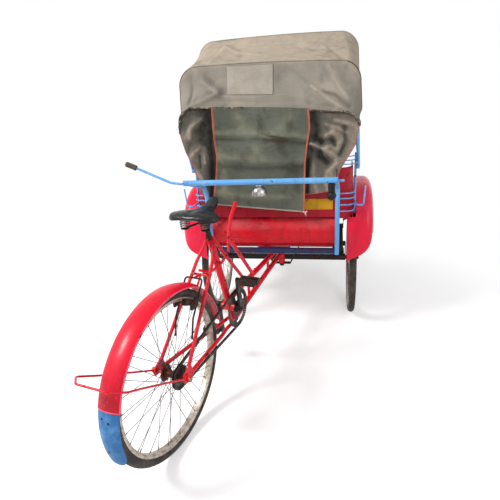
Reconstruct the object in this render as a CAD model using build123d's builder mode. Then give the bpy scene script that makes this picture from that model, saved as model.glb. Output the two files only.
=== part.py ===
from build123d import *
from math import asin, atan2, cos, pi, radians, sin, sqrt
import os

# Cycle rickshaw with the passenger cabin in front and the rider behind it.
# Millimetres. X to the right, Y forward, Z up. Everything is drawn from the ground under the middle of
# the front axle, and each piece is saved from the middle of the whole machine's plan, on the ground.
# The cabin stands square on the axes. The rear bicycle frame is drawn straight behind the kingpin,
# then turned about it by park_steer, as the machine was parked.

# half the cabin's width, from which the rails, posts, fenders, springs and wheels stand off
body_half = 352.0

# wheels
wheel_radius = 355.0
tyre_width = 40.0
tyre_height = 38.0
rim_depth = 15.0
rim_width = 34.0
spoke_size = 2.6
spokes_a_side = 18
track = 2 * (body_half + 93.0)
front_hub_half = 34.0
front_flange_offset = 24.0
front_flange_radius = 24.0
rear_hub_half = 38.0
rear_flange_offset = 26.0
rear_flange_radius = 30.0
axle_dia = 15.0
hub_clearance = 0.5

# kingpin and steering
kingpin_y = -75.0
kingpin_dia = 16.0
wheelbase = 1259.0
park_steer = 14.4
head_bottom = 344.0
head_top = 490.0
head_dia = 42.0
seat_gap = 0.3
strap = 6.0
stirrup_half = 56.0
stirrup_top_half = 158.0

# chassis of the cabin
chassis_half = body_half - 13.0
chassis_z = 558.0
chassis_tube = 26.0
chassis_rear = -424.0
step_y = 255.0
foot_rear_y = 330.0
foot_front_y = 735.0
foot_z = 330.0

# front axle and springs
axle_bar = 32.0
spring_x = body_half + 28.0
spring_width = 34.0
leaf_thickness = 6.0
leaf_count = 5
spring_half = 290.0
spring_camber = 78.0
eye_dia = 24.0

# cabin body
sheet = 3.0
roll_top = 748.0
roll_depth = 60.0
board = 8.0
board_z = 740.0
seat_front = 150.0
side_x = body_half + 78.0
side_z = 1013.0
arm_z = 900.0
corner_radius = 88.0
back_y = -398.0
back_top = 1000.0
panel_sheet = 6.0
cushion = 90.0

# fenders over the front wheels
fender_inner = body_half + 52.0
fender_outer = body_half + 194.0
fender_top = 886.0
fender_rear = -394.0
fender_front = 400.0
fender_sheet = 3.0
shoulder_radius = 48.0

# push bar behind the hood, with the pull rod beside it
bar_y = -690.0
bar_z = 1011.0
bar_dia = 27.0
bar_left = -body_half - 36.0
bar_right = body_half - 6.0
leg_x = body_half - 2.0
leg_dia = 24.0
rod_dia = 12.0
grip_dia = 26.0

# hood: bows as (y, left half width, right half width, left top z, right top z, side foot z, drop of the bow)
bows = (
    (-430.0, 470.0, 452.0, 1354.0, 1298.0, 1226.0, 12.6),
    (-325.0, 486.0, 462.0, 1550.0, 1530.0, 1300.0, 21.9),
    (0.0, 462.0, 462.0, 1694.0, 1690.0, 1440.0, 13.2),
    (330.0, 458.0, 458.0, 1642.0, 1638.0, 1440.0, 12.6),
)
post_x = body_half + 91.0
post_y = -318.0
post_dia = 12.0
hinge_z = 1005.0
bow_dia = 14.0
canvas = 5.0
shoulder = 110.0

# rear frame, as (s, z): s runs forward from the rear axle
crank_s = 522.0
crank_z = 398.0
crank_length = 165.0
crank_angle = -6.0
shell_dia = 44.0
cluster_s = 402.0
cluster_z = 772.0
seat_tube_dia = 34.0
main_dia = 30.0
stay_dia = 16.0
dropout_t = 71.0
plate = 6.0
axle_half = 96.0
ring_teeth = 48
sprocket_teeth = 24
pitch = 12.7
chain_t = 44.0
chain_width = 9.0
guard_radius = 378.0
guard_half = 46.0
guard_shift = 12.0
guard_sheet = 2.5
guard_front_half = 32.0
tip_angle = 197.0
blue_angle = 163.0
guard_split_angle = 59.0
guard_front_angle = 8.0

axle_z = wheel_radius
hub_bore = axle_dia + 2 * hub_clearance
leg_y = chassis_rear - leg_dia / 2 - seat_gap
os.makedirs("parts", exist_ok=True)
turned = Location((0, kingpin_y, 0), (0, 0, -park_steer))
centred = Location((70.8, 443.3, 0))


def save(builder, label):
    """A piece is saved from the middle of the machine's plan."""
    piece = builder.part.moved(centred)
    piece.label = label
    export_step(piece, "parts/" + label + ".step")


def save_turned(builder, label):
    """Pieces behind the kingpin are drawn straight and saved at the parked angle."""
    builder.part = builder.part.moved(turned)
    save(builder, label)


def rear(t, s, z):
    """A point of the rear frame: t to the right, s forward from the rear axle, z up."""
    return (t, s - wheelbase, z)


def tube(points, dia, bend=None, mode=Mode.ADD):
    """A round bar along straight runs joined by arcs of one bend radius or a list of them."""
    with BuildLine() as path:
        if len(points) == 2:
            Line(*points)
        else:
            FilletPolyline(*points, radius=bend)
    with BuildSketch(Plane(origin=path.line @ 0, z_dir=path.line % 0)) as section:
        Circle(dia / 2)
    sweep(section.sketch, path=path.line, mode=mode)


def side_plane(x):
    """A plane at x whose own x runs forward along Y and whose own y runs up."""
    return Plane(origin=(x, 0, 0), x_dir=(0, 1, 0), z_dir=(1, 0, 0))


# Wheels
def tyre_at(centre):
    """A tyre with rounded shoulders, revolved about its own axle."""
    plane = Plane(origin=centre, x_dir=(1, 0, 0), z_dir=(0, -1, 0))
    inner = wheel_radius - tyre_height
    half = tyre_width / 2
    with BuildPart() as ring:
        with BuildSketch(plane):
            with BuildLine():
                Line((-half + 5, inner), (half - 5, inner))
                Line((half - 5, inner), (half, wheel_radius - 22))
                ThreePointArc((half, wheel_radius - 22), (half * 0.72, wheel_radius - 6.5), (0, wheel_radius))
                ThreePointArc((0, wheel_radius), (-half * 0.72, wheel_radius - 6.5), (-half, wheel_radius - 22))
                Line((-half, wheel_radius - 22), (-half + 5, inner))
            make_face()
        revolve(axis=Axis(centre, (1, 0, 0)))
    return ring


def wheel_at(centre, flange_offset, flange_radius, hub_half, bore):
    """Rim, crossed spokes and hub in one piece; every spoke leans past its neighbour from the flange."""
    x0, y0, z0 = centre
    plane = Plane(origin=centre, x_dir=(1, 0, 0), z_dir=(0, -1, 0))
    rim_top = wheel_radius - tyre_height
    rim_low = rim_top - rim_depth
    half = rim_width / 2
    flange_rim = flange_radius + 5
    with BuildPart() as wheel:
        with BuildSketch(plane):
            with BuildLine():
                Polyline((-half, rim_top), (half, rim_top), (half, rim_top - 7), (half * 0.55, rim_low),
                         (-half * 0.55, rim_low), (-half, rim_top - 7), close=True)
            make_face()
        revolve(axis=Axis(centre, (1, 0, 0)))
        with BuildSketch(plane):
            with BuildLine():
                Polyline((-hub_half, 0), (-hub_half, 13), (-flange_offset - 4, 15),
                         (-flange_offset - 4, flange_rim), (-flange_offset + 1, flange_rim),
                         (-flange_offset + 1, 16), (flange_offset - 1, 16), (flange_offset - 1, flange_rim),
                         (flange_offset + 4, flange_rim), (flange_offset + 4, 15), (hub_half, 13),
                         (hub_half, 0), close=True)
            make_face()
        revolve(axis=Axis(centre, (1, 0, 0)))
        step = 360 / spokes_a_side
        spokes = []
        for side, shift in ((-1, 0), (1, step / 2)):
            for count in range(spokes_a_side):
                lean = 62 if count % 2 else -62
                at_hub = radians(count * step + shift)
                at_rim = at_hub + radians(lean)
                x_hub = x0 + side * (flange_offset + (1.6 if count % 2 else -1.6))
                root = (x_hub, y0 + flange_radius * cos(at_hub), z0 + flange_radius * sin(at_hub))
                nipple = (x0 + side * 5, y0 + (rim_low + 4) * cos(at_rim), z0 + (rim_low + 4) * sin(at_rim))
                run = Vector(*nipple) - Vector(*root)
                spokes.append(Plane(origin=root, z_dir=run))
        with BuildSketch(*spokes):
            Rectangle(spoke_size, spoke_size)
        extrude(amount=run.length)
        with Locations(Plane(origin=centre, z_dir=(1, 0, 0))):
            Cylinder(bore / 2, 4 * hub_half, mode=Mode.SUBTRACT)
    return wheel


for side, name in ((-1, "left"), (1, "right")):
    centre = (side * track / 2, 0, axle_z)
    save(tyre_at(centre), "front_tyre_" + name)
    save(wheel_at(centre, front_flange_offset, front_flange_radius, front_hub_half, hub_bore),
         "front_wheel_" + name)
rear_centre = rear(0, 0, axle_z)
save_turned(tyre_at(rear_centre), "rear_tyre")

# Front axle: a square bar with turned ends and a nut outside each hub.
with BuildPart() as front_axle:
    inner_face = track / 2 - front_hub_half - 1.0
    nut_face = track / 2 + front_hub_half + 1.0
    with BuildSketch(Plane.YZ.offset(-inner_face)):
        with Locations((0, axle_z)):
            Rectangle(axle_bar, axle_bar)
    extrude(amount=2 * inner_face)
    fillet(front_axle.edges().filter_by(Axis.X), 4)
    with Locations(Plane(origin=(0, 0, axle_z), z_dir=(1, 0, 0))):
        Cylinder(axle_dia / 2, 2 * nut_face + 30)
    for side in (-1, 1):
        with BuildSketch(Plane(origin=(side * nut_face, 0, axle_z), z_dir=(side, 0, 0))):
            RegularPolygon(14, 6)
        extrude(amount=13)
save(front_axle, "front_axle")

# Leaf springs: stacked leaves that shorten downwards, an eye at each end, outriggers out to them.
spring_seat = axle_z + axle_bar / 2
leaf_radius = (spring_half ** 2 + spring_camber ** 2) / (2 * spring_camber)
stack = leaf_count * leaf_thickness
hub_z = spring_seat + stack - leaf_thickness + leaf_radius
eye_z = spring_seat + stack + spring_camber + 3
rail_outer = chassis_half + chassis_tube / 2
for side, name in ((-1, "left"), (1, "right")):
    with BuildPart() as leaf_spring:
        for leaf in range(leaf_count):
            outer = leaf_radius + leaf * leaf_thickness
            inner = outer - leaf_thickness
            swing = asin(spring_half * (1.0 - 0.17 * leaf) / outer)
            with BuildSketch(side_plane(side * spring_x - spring_width / 2)):
                with BuildLine():
                    a = (-outer * sin(swing), hub_z - outer * cos(swing))
                    b = (outer * sin(swing), hub_z - outer * cos(swing))
                    c = (inner * sin(swing), hub_z - inner * cos(swing))
                    d = (-inner * sin(swing), hub_z - inner * cos(swing))
                    ThreePointArc(a, (0, hub_z - outer), b)
                    Line(b, c)
                    ThreePointArc(c, (0, hub_z - inner), d)
                    Line(d, a)
                make_face()
            extrude(amount=spring_width)
        for end in (-1, 1):
            with Locations(Plane(origin=(side * spring_x, end * spring_half, eye_z), z_dir=(1, 0, 0))):
                Cylinder(eye_dia / 2, spring_width)
            for cheek in (-1, 1):
                with Locations((side * spring_x + cheek * (spring_width / 2 + 2), end * spring_half,
                                (eye_z + chassis_z) / 2 - 5)):
                    Box(4, 34, chassis_z - eye_z + 26)
            with Locations((side * (rail_outer + 24), end * spring_half, chassis_z)):
                Box(48, 22, 22)
        with Locations((side * spring_x, 0, spring_seat + (stack + 8) / 2)):
            Box(spring_width + 6, 60, stack + 8)
    save(leaf_spring, "leaf_spring_" + name)

# Chassis: two side rails that drop to the footboard, with cross rails under seat, step and toe board.
with BuildPart() as chassis:
    for side in (-1, 1):
        with BuildSketch(side_plane(side * chassis_half - chassis_tube / 2)):
            with BuildLine():
                Polyline((chassis_rear, chassis_z), (step_y, chassis_z), (foot_rear_y, foot_z),
                         (foot_front_y, foot_z))
            trace(line_width=chassis_tube)
        extrude(amount=chassis_tube)
    for y, z in ((chassis_rear + chassis_tube / 2, chassis_z), (kingpin_y - 88, chassis_z),
                 (kingpin_y + 88, chassis_z), (step_y - 20, chassis_z), (foot_front_y - 13, foot_z),
                 (foot_rear_y + 40, foot_z)):
        with Locations((0, y, z)):
            Box(2 * chassis_half, chassis_tube, chassis_tube)
save(chassis, "chassis")

# Kingpin bracket: a stirrup of flat bar under the chassis, the kingpin through it and a nut below.
under_head = head_bottom - seat_gap - strap
over_head = head_top + seat_gap
chassis_under = chassis_z - chassis_tube / 2
with BuildPart() as kingpin_bracket:
    strap_z = chassis_under - strap / 2
    with BuildSketch(Plane.XZ.offset(-kingpin_y - 15)):
        with BuildLine():
            Polyline((-stirrup_top_half - 30, strap_z), (-stirrup_top_half, strap_z),
                     (-stirrup_half, under_head + strap / 2), (stirrup_half, under_head + strap / 2),
                     (stirrup_top_half, strap_z), (stirrup_top_half + 30, strap_z))
        trace(line_width=strap)
    extrude(amount=30)
    with Locations((0, kingpin_y, (chassis_under - strap + over_head) / 2)):
        Cylinder(30, chassis_under - strap - over_head)
    with Locations((0, kingpin_y, strap_z)):
        Box(340, 200, strap)
    with Locations((0, kingpin_y, (under_head - 14 + over_head) / 2)):
        Cylinder(kingpin_dia / 2, over_head - under_head + 14)
    with BuildSketch(Plane.XY.offset(under_head - 14)):
        with Locations((0, kingpin_y)):
            RegularPolygon(15, 6)
    extrude(amount=14)
save(kingpin_bracket, "kingpin_bracket")

# Seat box with the rounded roll along its back: sheet metal, hollow, closed by the seat board.
rail_top = chassis_z + chassis_tube / 2
roll_front = chassis_rear + roll_depth
roll_foot = chassis_rear + roll_depth * 0.6
with BuildPart() as seat_box:
    with BuildSketch(side_plane(-body_half)):
        with BuildLine():
            Line((seat_front, rail_top), (seat_front, board_z))
            Line((seat_front, board_z), (roll_front, board_z))
            Line((roll_front, board_z), (roll_front, roll_top))
            ThreePointArc((roll_front, roll_top), (chassis_rear, (roll_top + rail_top) / 2 + 8),
                          (roll_foot, rail_top))
            Line((roll_foot, rail_top), (seat_front, rail_top))
        make_face()
    extrude(amount=2 * body_half)
    with BuildSketch(side_plane(-body_half + sheet)):
        with BuildLine():
            Line((seat_front - sheet, rail_top + sheet), (seat_front - sheet, board_z - sheet))
            Line((seat_front - sheet, board_z - sheet), (roll_front - sheet, board_z - sheet))
            ThreePointArc((roll_front - sheet, board_z - sheet),
                          (chassis_rear + sheet, (roll_top + rail_top) / 2 + 8),
                          (roll_foot + sheet, rail_top + sheet))
            Line((roll_foot + sheet, rail_top + sheet), (seat_front - sheet, rail_top + sheet))
        make_face()
    extrude(amount=2 * (body_half - sheet), mode=Mode.SUBTRACT)
save(seat_box, "seat_box")

# Seat board on the box, its rear corners cut back behind the curved side panels.
board_half = side_x - sheet / 2 - seat_gap
with BuildPart() as seat_board:
    with BuildSketch(Plane.XY.offset(board_z)):
        with BuildLine():
            Polyline((-board_half, seat_front + 20), (-board_half, back_y + corner_radius),
                     (-body_half + 12, roll_front + 3), (body_half - 12, roll_front + 3),
                     (board_half, back_y + corner_radius), (board_half, seat_front + 20), close=True)
        make_face()
    extrude(amount=board)
save(seat_board, "seat_board")

# Side panels: one curved sheet each side, wrapping the rear corner and falling to the arm rest.
corner = side_x - corner_radius
for side, name in ((-1, "left"), (1, "right")):
    with BuildPart() as side_panel:
        with BuildSketch(Plane.XY.offset(board_z)):
            with BuildLine():
                ThreePointArc((side * corner, back_y),
                              (side * (corner + corner_radius * 0.7071), back_y + corner_radius * 0.2929),
                              (side * side_x, back_y + corner_radius))
                Line((side * side_x, back_y + corner_radius), (side * side_x, seat_front + 20))
            trace(line_width=sheet)
        extrude(amount=side_z - board_z)
        with BuildSketch(side_plane(-600)):
            with BuildLine():
                Polyline((-150, side_z + 5), (30, arm_z), (seat_front + 60, arm_z - 15),
                         (seat_front + 60, side_z + 5), close=True)
            make_face()
        extrude(amount=1200, mode=Mode.SUBTRACT)
    save(side_panel, "side_panel_" + name)

# number plate on the back panel
plate_x = body_half - 100.0
plate_z = 822.0
bolt_pitch = 120.0
bolt_hole = 5.0
with BuildPart() as back_panel:
    with Locations((0, back_y + 1.5, (roll_top + back_top) / 2 + 1)):
        Box(2 * corner - 1, panel_sheet, back_top - roll_top - 2)
    for end in (-1, 1):
        with Locations(Plane(origin=(plate_x + end * bolt_pitch / 2, back_y, plate_z + 20), z_dir=(0, 1, 0))):
            Cylinder(bolt_hole / 2, 60, mode=Mode.SUBTRACT)
save(back_panel, "back_panel")

# Footboard with its toe board in front.
board_low = foot_z + chassis_tube / 2
with BuildPart() as footboard:
    with BuildSketch(side_plane(-body_half)):
        with BuildLine():
            Polyline((foot_rear_y + 22, board_low + 4), (foot_front_y - 20, board_low + 4),
                     (foot_front_y + 55, board_low + 110))
        trace(line_width=8)
    extrude(amount=2 * body_half)
save(footboard, "footboard")

with BuildPart() as seat_cushion:
    cushion_length = seat_front - back_y - 75
    with Locations((0, back_y + 72 + cushion_length / 2, board_z + board + seat_gap + cushion / 2)):
        Box(2 * side_x - 20, cushion_length, cushion)
    fillet(seat_cushion.edges().filter_by(Axis.Z), 30)
save(seat_cushion, "seat_cushion")

with BuildPart() as back_cushion:
    with Locations((0, back_y + 1.5 + panel_sheet / 2 + seat_gap + 29, board_z + board + cushion + 120)):
        Box(2 * corner - 20, 58, 210)
    fillet(back_cushion.edges().filter_by(Axis.X), 20)
save(back_cushion, "back_cushion")

# Fenders: a rounded pan over each wheel, open to the wheel and below, with a slanted lower edge.
def pan(side, inset):
    """The solid outline of a fender, drawn in by the inset."""
    start = fender_inner - 1 if side > 0 else -fender_outer + inset
    width = fender_outer - inset - fender_inner + 1
    with BuildPart() as block:
        with BuildSketch(side_plane(start)):
            with BuildLine():
                Line((fender_front - inset, 430), (fender_rear + inset, 430))
                Line((fender_rear + inset, 430), (fender_rear + 10 + inset, 640))
                ThreePointArc((fender_rear + 10 + inset, 640), (fender_rear + 84 + inset * 0.7, 806 - inset * 0.7),
                              (-120, fender_top - inset))
                ThreePointArc((-120, fender_top - inset), (140 - inset * 0.4, 850 - inset),
                              (fender_front - 70 - inset, 690))
                Line((fender_front - 70 - inset, 690), (fender_front - inset, 430))
            make_face()
        extrude(amount=width)
        pan_side = block.faces().sort_by(Axis.X)[-1 if side > 0 else 0]
        fillet(pan_side.edges().filter_by(lambda e: e.center().Z > 450), shoulder_radius - inset)
    return block.part


for side, name in ((-1, "left"), (1, "right")):
    with BuildPart() as fender:
        add(pan(side, 0))
        add(pan(side, fender_sheet), mode=Mode.SUBTRACT)
        with Locations((side * (fender_inner - 50), 0, 600)):
            Box(100, 1200, 800, mode=Mode.SUBTRACT)
        with BuildSketch(Plane.XZ.offset(-800)):
            with BuildLine():
                Line((side * 380, 400), (side * 380, 474))
                Line((side * 380, 474), (side * 462, 516))
                ThreePointArc((side * 462, 516), (side * 508, 548), (side * 540, 640))
                Line((side * 540, 640), (side * 600, 640))
                Line((side * 600, 640), (side * 600, 400))
                Line((side * 600, 400), (side * 380, 400))
            make_face()
        extrude(amount=1600, mode=Mode.SUBTRACT)
        with Locations((side * (side_x + sheet / 2 + seat_gap - 100), 0, board_z - 4 + 500)):
            Box(200, 1200, 1000, mode=Mode.SUBTRACT)
        with Locations((side * post_x, post_y - 40, board_z - 4 + 100)):
            Box(18, 100, 200, mode=Mode.SUBTRACT)
    save(fender, "fender_" + name)

# Side rails: the hood post, thin rods that round the rear corner, and the hooked rod beside the fender.
rod_rows = ((783, 12), (818, 12), (852, 12), (880, 12), (1030, 2), (1050, 2), (1070, 2))
for side, name in ((-1, "left"), (1, "right")):
    with BuildPart() as side_rail:
        tube([(side * post_x, post_y, board_z + board), (side * post_x, post_y, 1078)], post_dia)
        for z, out in rod_rows:
            tube([(side * (body_half - 4), back_y - out, z), (side * (post_x - 10), back_y - out + 6, z),
                  (side * post_x, post_y, z)], 6, 40)
        tube([(side * post_x, post_y, 820), (side * 446, -410, 820), (side * 484, -410, 817),
              (side * 492, -410, 920)], 8, [16, 12])
        tube([(side * (body_half - 4), back_y - 6.9, 770), (side * (body_half - 4), back_y - 6.9, 1080)], 10)
    save(side_rail, "side_rails_" + name)

# Push bar: two bent legs from the chassis corners back to the driver, and the bar across them.
# The pull rod runs in front of the bar, through a hole in each leg.
rod_y = bar_y + bar_dia / 2 + rod_dia / 2 + seat_gap
rod_z = bar_z - 7.0
with BuildPart() as push_bar:
    for side, end in ((-1, bar_left + 14), (1, bar_right - 14)):
        tube([(side * leg_x, leg_y, chassis_z - 10), (side * leg_x, leg_y - 24, 940), (end, bar_y, bar_z)],
             leg_dia, 90)
    tube([(bar_left, bar_y, bar_z), (bar_right, bar_y, bar_z)], bar_dia)
    with Locations(Plane(origin=(0, rod_y, rod_z), z_dir=(1, 0, 0))):
        Cylinder(rod_dia / 2 + seat_gap, 900, mode=Mode.SUBTRACT)
save(push_bar, "push_bar")

with BuildPart() as pull_rod:
    tube([(bar_right + 31, rod_y, rod_z), (bar_left - 24, rod_y, rod_z), (-462, rod_y, bar_z),
          (-614, rod_y, 1080), (-630, rod_y, 1087)], rod_dia, [60, 60, 12])
save(pull_rod, "pull_rod")

with BuildPart() as rod_grip:
    tube([(-630.3, rod_y, 1087.1), (-684, rod_y, 1110.6)], grip_dia)
    fillet(rod_grip.edges(), 5)
save(rod_grip, "rod_grip")

# Bell under the bar: a dome below a clip.
bell_x = -18.0
bell_radius = 36.0
bell_height = 44.0
bar_under = bar_z - bar_dia / 2 - seat_gap
with BuildPart() as bell:
    with BuildSketch(Plane(origin=(bell_x, bar_y, bar_under - 4 - bell_height), x_dir=(1, 0, 0),
                           z_dir=(0, -1, 0))):
        with BuildLine():
            Line((0, 0), (bell_radius, 0))
            Line((bell_radius, 0), (bell_radius, 8))
            ThreePointArc((bell_radius, 8), (bell_radius * 0.72, bell_height * 0.77), (0, bell_height))
            Line((0, bell_height), (0, 0))
        make_face()
    revolve(axis=Axis((bell_x, bar_y, 0), (0, 0, 1)))
    with Locations((bell_x, bar_y, bar_under - 4)):
        Box(26, 18, 8)
save(bell, "bell")

# Bulb horn under the right end of the bar: a coiled neck, drawn as round ribs, above a rubber bulb.
horn_x = bar_right - 26.0
coil_turns = 4
coil_step = 9.0
neck_radius = 12.5
bulb_radius = 22.0
coil_top = bar_under - 2
coil_foot = coil_top - coil_turns * coil_step
bulb_z = coil_foot - 2 - sqrt(bulb_radius ** 2 - neck_radius ** 2)
with BuildPart() as bulb_horn:
    with BuildSketch(Plane(origin=(horn_x, bar_y, 0), x_dir=(1, 0, 0), z_dir=(0, -1, 0))):
        with BuildLine():
            Line((0, coil_top), (neck_radius, coil_top))
            for count in range(coil_turns):
                rib_top = coil_top - count * coil_step
                ThreePointArc((neck_radius, rib_top), (neck_radius + coil_step / 2, rib_top - coil_step / 2),
                              (neck_radius, rib_top - coil_step))
            Line((neck_radius, coil_foot), (neck_radius, coil_foot - 2))
            ThreePointArc((neck_radius, coil_foot - 2), (bulb_radius, bulb_z), (0, bulb_z - bulb_radius))
            Line((0, bulb_z - bulb_radius), (0, coil_top))
        make_face()
    revolve(axis=Axis((horn_x, bar_y, 0), (0, 0, 1)))
    with Locations((horn_x, bar_y, bar_under - 4)):
        Box(16, 8, 8)
save(bulb_horn, "bulb_horn")

plate_y = back_y + 1.5 - panel_sheet / 2 - seat_gap
with BuildPart() as number_plate:
    with BuildSketch(Plane.XZ.offset(-plate_y)):
        with Locations((plate_x, plate_z)):
            RectangleRounded(150, 60, 6)
        with Locations((plate_x - bolt_pitch / 2, plate_z + 20), (plate_x + bolt_pitch / 2, plate_z + 20)):
            Circle(bolt_hole / 2, mode=Mode.SUBTRACT)
    extrude(amount=1.5)
save(number_plate, "number_plate")

# Hood bows: each leaves the hinge on the post and crosses over under the canvas.
with BuildPart() as hood_bows:
    inset = canvas + bow_dia / 2 + 3
    for y, left, right, high, low, foot, drop in bows:
        fall = min(shoulder, low - foot - 2)
        tube([(-post_x - 16, post_y, hinge_z), (-left + inset, y, foot - 6), (-left + inset + 20, y, high - fall),
              (-left + 110, y, high - drop - 12), (0, y, (high + low) / 2 - drop),
              (right - 110, y, low - drop - 12), (right - inset - 20, y, low - fall),
              (right - inset, y, foot - 6), (post_x + 16, post_y, hinge_z)],
             bow_dia, [12, 16, 60, 400, 60, 16, 12])
    for side in (-1, 1):
        with Locations(Plane(origin=(side * (post_x + post_dia / 2 + seat_gap + 7), post_y, hinge_z),
                             z_dir=(1, 0, 0))):
            Cylinder(13, 14)
save(hood_bows, "hood_bows")

# Hood canvas: one sheet over the bows, lofted from arch to arch, each with round shoulders.
with BuildPart() as hood_canvas:
    for y, left, right, high, low, foot, drop in bows:
        fall = min(shoulder, low - foot - 2)
        with BuildSketch(Plane.XZ.offset(-y)):
            with BuildLine():
                rows = []
                for grow in (0, canvas):
                    l, r, h, k = left - grow, right - grow, high - grow, low - grow
                    rows.append(((-l, foot), (-l + 8, h - fall), (-l + 34, h - fall * 0.36), (-l + 100, h - 7),
                                 (0, (h + k) / 2), (r - 100, k - 7), (r - 34, k - fall * 0.36),
                                 (r - 8, k - fall), (r, foot)))
                for row in rows:
                    Line(row[0], row[1])
                    ThreePointArc(row[1], row[2], row[3])
                    ThreePointArc(row[3], row[4], row[5])
                    ThreePointArc(row[5], row[6], row[7])
                    Line(row[7], row[8])
                Line(rows[0][0], rows[1][0])
                Line(rows[0][8], rows[1][8])
            make_face()
    loft(ruled=True)
save(hood_canvas, "hood_canvas")

# Rear curtain and the side cloths beside it, hanging from the rear bow.
curtain_y = -442.6
cloth_y = -437.3
cloths = (
    ("rear_curtain", curtain_y,
     ((-282, 1322), (216, 1322), (184, 1030), (176, 800), (0, 812), (-312, 832), (-284, 1080))),
    ("side_cloth_left", cloth_y,
     ((-250, 1318), (-446, 1224), (-436, 1126), (-392, 980), (-380, 880), (-318, 860), (-260, 1080))),
    ("side_cloth_right", cloth_y,
     ((190, 1318), (430, 1216), (418, 1150), (350, 985), (338, 880), (150, 868), (160, 1030))),
)
for name, cloth_plane, outline in cloths:
    with BuildPart() as cloth:
        with BuildSketch(Plane.XZ.offset(-cloth_plane)):
            with BuildLine():
                Polyline(*outline, close=True)
            make_face()
        extrude(amount=canvas)
    save(cloth, name)

# Rear frame: two main tubes from the head, a seat tube across them, stays to the rear axle, and the
# turn plate that bears under the kingpin bracket.
shell_half = 37.0
crank_axle = 17.0
crank_clearance = 0.4
kingpin_clearance = 0.3
with BuildPart() as rear_frame:
    with Locations((0, 0, (head_bottom + head_top) / 2)):
        Cylinder(head_dia / 2, head_top - head_bottom)
    with BuildSketch(Plane.XY.offset(head_top - plate)):
        with BuildLine():
            Polyline((0, -222), (125, -109), (88, -80), (80, 40), (-80, 40), (-88, -80), (-125, -109),
                     close=True)
        make_face()
    extrude(amount=plate)
    for points, dia, bend in (
        ((rear(0, 398.3, 802), rear(0, 548.3, 312)), seat_tube_dia, None),
        ((rear(0, 545, 303), rear(0, wheelbase - 233, 382), rear(0, wheelbase, 415)), main_dia, 300),
        ((rear(0, 510, 436), rear(0, wheelbase - 562, 447), rear(0, wheelbase, 467)), main_dia, 300),
        ((rear(0, 425, 803), rear(0, 507, 694), rear(0, 710, 460)), 18, 120),
        ((rear(9, 561.6, 746.7), rear(9, 788, 467)), 20, None),
        ((rear(0, wheelbase - 232, 391), rear(0, wheelbase - 232, 463)), 16, None),
        ((rear(0, 749, 338), rear(0, 749, 450)), 16, None),
        ((rear(12, 571, 747), rear(12, 688, 709)), 7, None),
        ((rear(-43, 292, 674), rear(43, 292, 674)), 12, None),
        ((rear(0, 292, 674), rear(0, 241.6, 681)), 10, None),
        ((rear(0, 292, 674), rear(0, 255.8, 634.4)), 10, None),
    ):
        tube(points, dia, bend)
    for side in (-1, 1):
        tube((rear(side * 20, 396, 790), rear(side * 40, 330, 715), rear(side * 68.2, 30, 387.7)),
             stay_dia, 60)
        tube((rear(side * 22, 545, 318), rear(side * 27, 432, 327), rear(side * 40, 355, 333),
              rear(side * 68, 38, 352.6)), stay_dia + 3, [100, 100])
        with BuildSketch(side_plane(side * dropout_t - plate / 2)):
            with Locations((-wheelbase, axle_z)):
                Polygon((-16, -16), (6, -17), (50, -12), (50, 10), (40, 34), (30, 42), (16, 34), (-16, 18),
                        align=None)
        extrude(amount=plate)
    with Locations(Plane(origin=rear(0, crank_s, crank_z), z_dir=(1, 0, 0))):
        Cylinder(shell_dia / 2, 2 * shell_half)
        Cylinder(crank_axle / 2 + crank_clearance, 4 * shell_half, mode=Mode.SUBTRACT)
    with Locations(Plane(origin=rear(0, 0, axle_z), z_dir=(1, 0, 0))):
        Cylinder(axle_dia / 2, 2 * axle_half)
    for side in (-1, 1):
        with BuildSketch(Plane(origin=rear(side * 79.5, 0, axle_z), z_dir=(side, 0, 0))):
            RegularPolygon(13, 6)
        extrude(amount=11)
    with Locations(Plane(origin=rear(0, 837, 503), z_dir=(0, 1, 0))):
        Torus(28, 3)
    tube((rear(-17, 837, 480), rear(17, 837, 526)), 5)
    with Locations(rear(0, 837, 470)):
        Cylinder(4, 14)
    with Locations((0, 0, (head_bottom + head_top) / 2)):
        Cylinder(kingpin_dia / 2 + kingpin_clearance, 2 * head_top, mode=Mode.SUBTRACT)
save_turned(rear_frame, "rear_frame")


# Rear mudguard: a crowned strip swept round the rear axle, with a blue flap on its end.
def guard_strip(half, shift, start, end):
    """A length of mudguard between two angles, counted from straight ahead over the top."""
    a = radians(start)
    plane = Plane(origin=rear(shift, 0, axle_z), x_dir=(1, 0, 0), z_dir=(0, -sin(a), cos(a)))
    top = guard_radius
    low = guard_radius - guard_sheet
    drop = 12 * half / guard_half
    with BuildPart() as strip:
        with BuildSketch(plane):
            with BuildLine():
                ThreePointArc((-half, top - drop), (0, top), (half, top - drop))
                Line((half, top - drop), (half - 0.5, low - drop))
                ThreePointArc((half - 0.5, low - drop), (0, low), (-half + 0.5, low - drop))
                Line((-half + 0.5, low - drop), (-half, top - drop))
            make_face()
        revolve(axis=Axis(rear(shift, 0, axle_z), (1, 0, 0)), revolution_arc=end - start)
    return strip.part


with BuildPart() as rear_mudguard:
    add(guard_strip(guard_front_half, 0, guard_front_angle, guard_split_angle + 1))
    add(guard_strip(guard_half, guard_shift, guard_split_angle, blue_angle))
save_turned(rear_mudguard, "rear_mudguard")
with BuildPart() as mudguard_tip:
    add(guard_strip(guard_half, guard_shift, blue_angle + 0.05, tip_angle))
save_turned(mudguard_tip, "mudguard_tip")

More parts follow.
